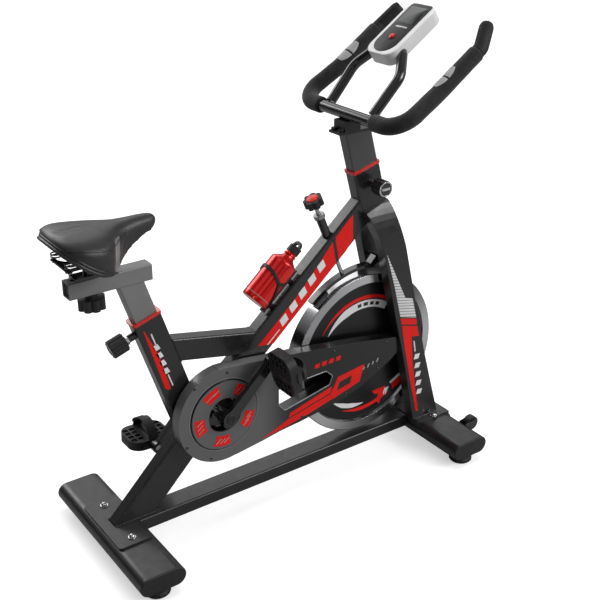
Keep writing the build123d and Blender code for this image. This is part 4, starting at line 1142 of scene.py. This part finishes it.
def build_fork_decals():
    field = [(759, 604), (788.5, 505), (812, 414), (866.5, 398.5), (851, 458), (826, 466)]
    decal_pair("fork_hatch", [field], hatch, FORK_FACE)
    stripes = [
        [(813, 410.5), (867.5, 394.5), (870.5, 377), (817, 391.5)],
        [(818, 387), (872, 371.8), (880, 340), (853.5, 345.5), (861, 272), (873.5, 191),
         (890, 103), (882, 105.5), (855, 213), (832.5, 312)]]
    decal_pair("fork_stripe", stripes, red_decal, FORK_FACE)
    marks = [slant_bar((875.5 + 15.0 * k / 4.0, 279 - 113 * k / 4.0), (0.98, -0.10),
                       length=17.0, width=15.0, lean=1.5) for k in range(5)]
    marks.append([(861, 330), (865, 329), (871, 296), (867, 296)])
    decal_pair("fork_marks", marks, white_decal, FORK_FACE)


def cover_decal(name, shapes, finish, depth=COVER_FACE):
    decal(name, shapes, finish, -1, depth)


def build_cover_decals():
    stripes = [
        [(374.7, 198.2), (412, 210), (457, 227.0), (588, 255.5), (597.7, 240), (520, 221),
         (440, 206)],
        [(458.5, 231), (462.8, 243.2), (594, 277.0), (589.5, 259.5)]]
    cover_decal("cover_stripe", stripes, red_decal)

    # a frame between five outer corners and four inner ones, the third of which serves twice
    outer = [(697.6, 309.1), (684, 262.5), (597.7, 238.5), (588.5, 254.0), (613.0, 297.9)]
    inner = [(658.5, 289.0), (652.5, 267.3), (609.0, 258.8), (609.0, 258.8), (618.5, 282.1)]
    diamond = []
    for k in range(5):
        j = (k + 1) % 5
        shape = [outer[k], outer[j], inner[j]]
        if inner[j] != inner[k]:
            shape.append(inner[k])
        diamond.append(shape)
    cover_decal("cover_diamond", diamond, red_decal)
    cover_decal("cover_marks_red",
                [slant_bar((547 + 22.0 * k, 351 + 0.5 * k), (0.25, 1.0),
                           length=12.0, width=14.0, lean=-1.5) for k in range(4)], red_decal)
    cover_decal("cover_marks_silver",
                [slant_bar((697 + 15.0 * k, 297 + 3.5 * k), (0.5, 1.0),
                           length=9.0 + (k % 2) * 3, width=4.0) for k in range(4)],
                silver_print)


def build_cover_ring_decals():
    """Five red patches with silver slanted lines on the raised ring round the crank."""
    def polar(radius, angle):
        return (CRANK_AXLE[0] + radius * math.cos(angle),
                CRANK_AXLE[1] + radius * math.sin(angle))

    patches, lines = [], []
    for k in range(5):
        middle = math.radians(118 + 72 * k)
        angles = [middle + math.radians(-17 + 34 * i / 9) for i in range(10)]
        patches.append([polar(84, angle) for angle in angles]
                       + [polar(56, angle) for angle in reversed(angles)])
        for turn in (-9, 0, 9):
            lines.append(slant_bar(polar(70, middle + math.radians(turn)), (0.80, 0.60),
                                   length=19.0, width=1.6))
    cover_decal("cover_ring_patches", patches, red_decal, COVER_RING_FACE)
    cover_decal("cover_ring_lines", lines, silver_print, COVER_RING_FACE + 0.42)


build_seat_tube_decals()
build_main_tube_decals()
build_fork_decals()
build_cover_decals()
build_cover_ring_decals()


# ------------------------------------------------------------------ flywheel decals
def web_depth(place):
    """Distance of the dished web from the middle plane."""
    x, _, z = to_design(place)
    radius = math.hypot(x - WHEEL_AXLE[0], z - WHEEL_AXLE[1])
    return 9.0 + 3.0 * max(0.0, min(1.0, (radius - 150) / 44.0))


def mark_depth(place):
    """Just above the white arc."""
    return web_depth(place) + 0.45


def arc(inner, outer, first, last, taper_first=1.0, taper_last=1.0):
    """Quads along an arc between two radii and two angles; tapers narrow its ends."""
    steps = 28
    middle = (inner + outer) / 2
    pairs = []
    for i in range(steps + 1):
        share = i / steps
        angle = math.radians(first + (last - first) * share)
        width = taper_first + (1 - taper_first) * min(1, share * 3)
        width *= taper_last + (1 - taper_last) * min(1, (1 - share) * 3)
        half = (outer - inner) / 2 * width
        pairs.append([(WHEEL_AXLE[0] + radius * math.cos(angle),
                       WHEEL_AXLE[1] + radius * math.sin(angle))
                      for radius in (middle + half, middle - half)])
    return [[start[0], end[0], end[1], start[1]] for start, end in zip(pairs, pairs[1:])]


def build_flywheel_decals():
    red_arc = arc(151, 161, 148, 52, 0.15, 1.0) + arc(168, 178, -60, -112, 1.0, 0.1)
    white_arc = arc(126, 147, 146, 56, 0.1, 1.0) + arc(152, 165, 232, 272, 0.1, 0.1)
    marks = []
    for first, last in ((98, 93), (90, 84), (81, 76), (73, 68)):
        marks += arc(132, 141, first, last)
    red_chevron = [
        [(765, 184), (812, 186), (788, 139), (779, 150), (787, 170), (772, 173)],
        [(832, 186), (878, 212), (884, 196), (835, 168)]]
    white_chevron = [
        [(808, 180), (823, 181), (811, 158), (801, 163)],
        [(824, 193), (876, 222), (878, 214), (830, 187)]]
    # name, shapes, finish, sign of y, depth, grid step
    for name, shapes, finish, sign, depth, grid in (
            ("red_arc", red_arc, red_decal, -1, web_depth, 0.0),
            ("white_arc", white_arc, white_decal, -1, web_depth, 0.0),
            ("arc_marks", marks, black_decal, -1, mark_depth, 0.0),
            ("chevron_red", red_chevron, red_decal, -1, web_depth, 8.0),
            ("chevron_white", white_chevron, white_decal, -1, web_depth, 8.0),
            ("red_arc_left", red_arc, red_decal, 1, web_depth, 0.0),
            ("white_arc_left", white_arc, white_decal, 1, web_depth, 0.0)):
        decal("flywheel_" + name, shapes, finish, sign, depth, "flywheel_body", grid=grid)


build_flywheel_decals()


# ------------------------------------------------------------------ cover window and bottle
def build_window_rim():
    """A silver-grey rim round the window in the cover."""
    window = [(430, 322), (430, 280), (448, 258), (584, 285), (594, 307), (574, 326)]
    mid_x, mid_z = sum(x for x, _ in window) / 6, sum(z for _, z in window) / 6
    ring = [Vector((mid_x + (x - mid_x) * 1.018, -COVER_FACE - 0.2,
                    mid_z + (z - mid_z) * 1.045)) for x, z in window]
    start = (ring[-1] + ring[0]) / 2
    path = rounded_path([start] + ring + [start + Vector((0.3, 0, 0))], [5, 8, 7, 6, 6, 5], 2.0)
    tube("cover_window_rim", path, (0, 1, 0), 1.5, silver_paint, "frame", segs=12)


def build_bottle():
    """A can with an S-curved shoulder and a neck ring, lying along the main tube."""
    base = (MAIN_POINT + MAIN_NORMAL * MAIN_TUBE[2]) - MAIN_ALONG * 88 + MAIN_NORMAL * 52.0
    radius = 35.0
    # (radius, height)
    profile = [(0.5, 1.6), (22, 1.2), (28, 0.3), (32.5, 0.1), (34.3, 1.0), (radius, 3.0)]
    profile += [(radius, 3.0 + 112.0 * i / 12) for i in range(1, 13)]
    for i in range(1, 13):
        share = i / 12.0
        ease = share * share * (3 - 2 * share)
        profile.append((radius - 20.0 * ease, 115.0 + 22.0 * share))
    profile += [(14.6, 138.5), (14.2, 139.6), (16.6, 140.4), (17.0, 141.4), (16.6, 142.4),
                (14.3, 143.0), (14.0, 148.0), (0.5, 148.0)]
    shell = lathe("bottle_shell", base, MAIN_ALONG, profile, bottle_red, "bottle_body",
                  segs=96, sharp=40)
    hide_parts("bottle")
    lathe("bottle_band", base, MAIN_ALONG,
          [(34.9, 14.0), (35.12, 14.2), (35.12, 15.6), (34.9, 15.8)],
          silver_paint, "bottle_body", segs=96)


build_window_rim()
build_bottle()


# ------------------------------------------------------------------ small hardware
# Profiles are (radius, height along the axis).
def build_brake_hardware():
    lathe("brake_knob_cap", BRAKE_POINT + BRAKE_ALONG * 9.0, BRAKE_ALONG,
          [(15.5, 0), (15.5, 1.0), (14.6, 2.0), (11, 2.9), (6, 3.4), (0.6, 3.6)],
          red_gloss, "brake_knob_body", segs=56, lobes=7, lobe_depth=0.10)
    lathe("brake_sleeve_nut", BRAKE_POINT + BRAKE_ALONG * -41, BRAKE_ALONG,
          [(13.7, -6.8), (14.4, -6.0), (14.4, 0.8), (13.0, 1.8), (6.0, 1.8), (6.0, 0.0)],
          zinc, "frame")


def build_seat_pin():
    face = SEAT_POINT + SEAT_ALONG * -27 + SEAT_NORMAL * SEAT_TUBE[2]
    lathe("seat_pin_cap", face + SEAT_NORMAL * 64.9, SEAT_NORMAL,
          [(15.5, 0), (15.0, 1.6), (10.5, 2.2), (10.0, 1.2), (0.8, 1.1)],
          gloss_black, "seat_pin_body", segs=40)
    lathe("seat_pin_nut", face + SEAT_NORMAL * 22.4, SEAT_NORMAL,
          [(11.0, -3.4), (11.6, -2.8), (11.6, 2.6), (11.0, 3.3), (9.2, 3.3)],
          zinc, "frame", segs=6)


def build_bar_pin():
    x, z = 735, 785
    face = Vector((x, -75, z)) + RIGHT * 0.05
    lathe("bar_pin_ring", face, RIGHT,
          [(19.4, -1.5), (19.8, 0.6), (18.6, 2.0), (16.6, 2.0), (15.8, 0.9), (15.8, -0.4)],
          chrome, "bar_pin_body", segs=56)
    lathe("bar_pin_face", face, RIGHT, [(15.7, -0.4), (15.6, 0.9), (10.0, 1.3), (0.6, 1.35)],
          gloss_black, "bar_pin_body")
    decal("bar_pin_mark", [[(722.5, 788), (747.5, 788), (746.5, 782), (723.5, 782)]],
          silver_print, -1, 76.5, "bar_pin_body", thick=0.4)
    lathe("bar_pin_nut", Vector((x, -34.0, z)), RIGHT,
          [(9.2, -6), (11.4, -5.5), (11.4, 0.0), (10.6, 0.8), (9.2, 0.8)],
          zinc, "frame", segs=6)


def build_crank_caps():
    for side, sign in SIDES:
        lathe("crank_cap_" + side, Vector((CRANK_AXLE[0], sign * 85.0, CRANK_AXLE[1])),
              (0, sign, 0),
              [(12.5, -0.4), (12.5, 0.8), (11.0, 1.8), (7.5, 2.1), (7.0, 1.4), (0.6, 1.4)],
              black_plastic, "crankset", segs=40)


# (x, z)
COVER_SCREWS = ((285, 416), (196, 400), (168, 250), (232, 196), (420, 400), (600, 376),
                (772, 350), (640, 240), (500, 220), (744, 281))


def build_cover_screws():
    for i, (x, z) in enumerate(COVER_SCREWS):
        lathe("cover_screw_%d" % (i + 1), Vector((x, -COVER_FACE, z)), RIGHT,
              [(3.9, -0.2), (3.9, 0.5), (3.2, 1.4), (2.0, 1.8), (0.3, 1.9)],
              gloss_black, "frame", segs=20)


build_brake_hardware()
build_seat_pin()
build_bar_pin()
build_crank_caps()
build_cover_screws()
plate("slider_end_plug", Vector((-61, 0, 701)), LEFT, Vector((-1, 0, 0)),
      round_rect(30.4, 32.4, 2.5, 4), 3.0, 0.8, black_plastic, "seat_post_body")


# ------------------------------------------------------------------ weld beads
def weld_pair(name, points, depth, radius=1.7):
    """A weld bead through (x, z) points on both sides, at a distance from the middle plane."""
    def bead_radius(share, angle, i):
        return radius * (0.82 + 0.22 * abs(math.sin(i * 0.9)))

    for side, sign in SIDES:
        corners = [Vector((x, sign * depth, z)) for x, z in points]
        path = []
        for start, end in zip(corners, corners[1:]):
            count = max(1, int((end - start).length / 1.3))
            path += [start + (end - start) * (i / count) for i in range(count)]
        path.append(corners[-1])
        tube(name + "_" + side, path, (0.3, 0.2, 1), bead_radius, paint, "frame", segs=8,
             sharp=80)


def edge_line(tube_line, sign):
    """One long edge of a tube, as (point, direction)."""
    point, direction, half = tube_line
    return point + turned(direction) * (sign * half), direction


def crossing(first, second):
    """Where two lines meet, each given as (point, direction)."""
    (point, along), (target, other) = first, second
    cross = along[0] * other[1] - along[1] * other[0]
    reach = ((target[0] - point[0]) * other[1] - (target[1] - point[1]) * other[0]) / cross
    return (point[0] + along[0] * reach, point[1] + along[1] * reach)


def crossings(tube_line, line):
    """Where both long edges of a tube meet a line."""
    return [crossing(edge_line(tube_line, sign), line) for sign in (1, -1)]


BASE_TOP = ((0, 79.8), (1, 0))    # level line along the base tube
weld_pair("weld_top_seat", crossings(TOP_TUBE, edge_line(SEAT_TUBE, -1)), 18.6)
weld_pair("weld_top_main", crossings(TOP_TUBE, edge_line(MAIN_TUBE, 1)), 18.8)
weld_pair("weld_strut_base", crossings(STRUT, BASE_TOP), 18.8)
weld_pair("weld_seat_strut", crossings(SEAT_TUBE, edge_line(STRUT, 1)), 18.6)
weld_pair("weld_fork_plate", [(876, 80.2), (960, 80.2)], FORK_FACE, radius=2.0)
weld_pair("weld_axle_plate", [(800, 345), (812, 346), (813, 326), (802, 309)], 46.3, radius=1.5)


# ------------------------------------------------------------------ studio, in metres
def build_floor():
    reach, cells = 120.0, 8
    build = bmesh.new()
    places = [-reach + 2 * reach * i / cells for i in range(cells + 1)]
    verts = [[build.verts.new((x, y, -0.0005)) for y in places] for x in places]
    for i in range(cells):
        for j in range(cells):
            build.faces.new((verts[i][j], verts[i + 1][j], verts[i + 1][j + 1],
                             verts[i][j + 1]))
    add_object("studio_floor", build, floor_finish())


def build_world():
    """White surroundings, brighter upwards and to the front, broken into soft patches."""
    world = bpy.data.worlds.new("studio")
    scene.world = world
    graph = Graph(world, "OutputWorld", "Generated")
    place = graph.xyz()
    upward = graph.ramp(place[2], -0.05, 0.9, 0.10, 0.85)
    forward = graph.ramp(place[0], -0.9, 0.5, 0.12, 1.25)
    patches = graph.ramp(graph.noise(1.7, detail=1.0), 0.44, 0.55, 0.16, 1.65)
    strength = graph.calc("MULTIPLY", graph.calc("MULTIPLY", upward, forward), patches)
    background = graph.node("Background", {"Strength": strength, "Color": (1.0, 1.0, 1.0)})
    graph.feed(graph.output.inputs[0], background.outputs[0])


def area_light(name, place, target, power, width, height=None):
    light = bpy.data.lights.new(name, "AREA")
    light.shape = "RECTANGLE"
    light.size = width
    light.size_y = height or width
    light.energy = power
    lamp = bpy.data.objects.new(name, light)
    scene.collection.objects.link(lamp)
    lamp.location = place
    aim = Vector(target) - Vector(place)
    lamp.rotation_euler = aim.to_track_quat("-Z", "Y").to_euler()
    return lamp


def build_lights():
    area_light("key_soft", (2.4, -3.2, 2.8), (0.0, 0.0, 0.6), power=78.0, width=1.8)
    top = area_light("top_soft", (0.2, 0.4, 4.2), (0.0, 0.0, 0.0), power=75.0, width=3.0)
    top.visible_glossy = False
    area_light("left_strip", (-3.0, -2.2, 2.2), (0.0, 0.0, 0.7), power=5.0, width=0.25,
               height=2.0)
    area_light("back_soft", (-0.8, 3.6, 2.6), (0.0, 0.0, 0.5), power=35.0, width=1.8)


def build_camera():
    lens = bpy.data.cameras.new("photo_camera")
    lens.sensor_width = 36.0
    lens.lens = 62.437
    lens.clip_start = 0.05
    lens.clip_end = 400.0
    camera = bpy.data.objects.new("photo_camera", lens)
    scene.collection.objects.link(camera)
    camera.location = (-1.27865, -1.9124, 1.6042)
    yaw = math.radians(35.063)      # from +Y towards +X
    pitch = math.radians(24.964)    # downwards
    roll = math.radians(-0.19)
    forward = Vector((math.sin(yaw) * math.cos(pitch), math.cos(yaw) * math.cos(pitch),
                      -math.sin(pitch)))
    level = forward.cross(Vector((0, 0, 1))).normalized()
    upright = level.cross(forward)
    across = level * math.cos(roll) + upright * math.sin(roll)
    up = -level * math.sin(roll) + upright * math.cos(roll)
    camera.rotation_euler = Matrix((across, up, -forward)).transposed().to_euler()
    scene.camera = camera


scene = bpy.context.scene
build_floor()
build_world()
build_lights()
build_camera()
scene.view_settings.view_transform = "Standard"
scene.view_settings.look = "None"
scene.view_settings.exposure = 0.0
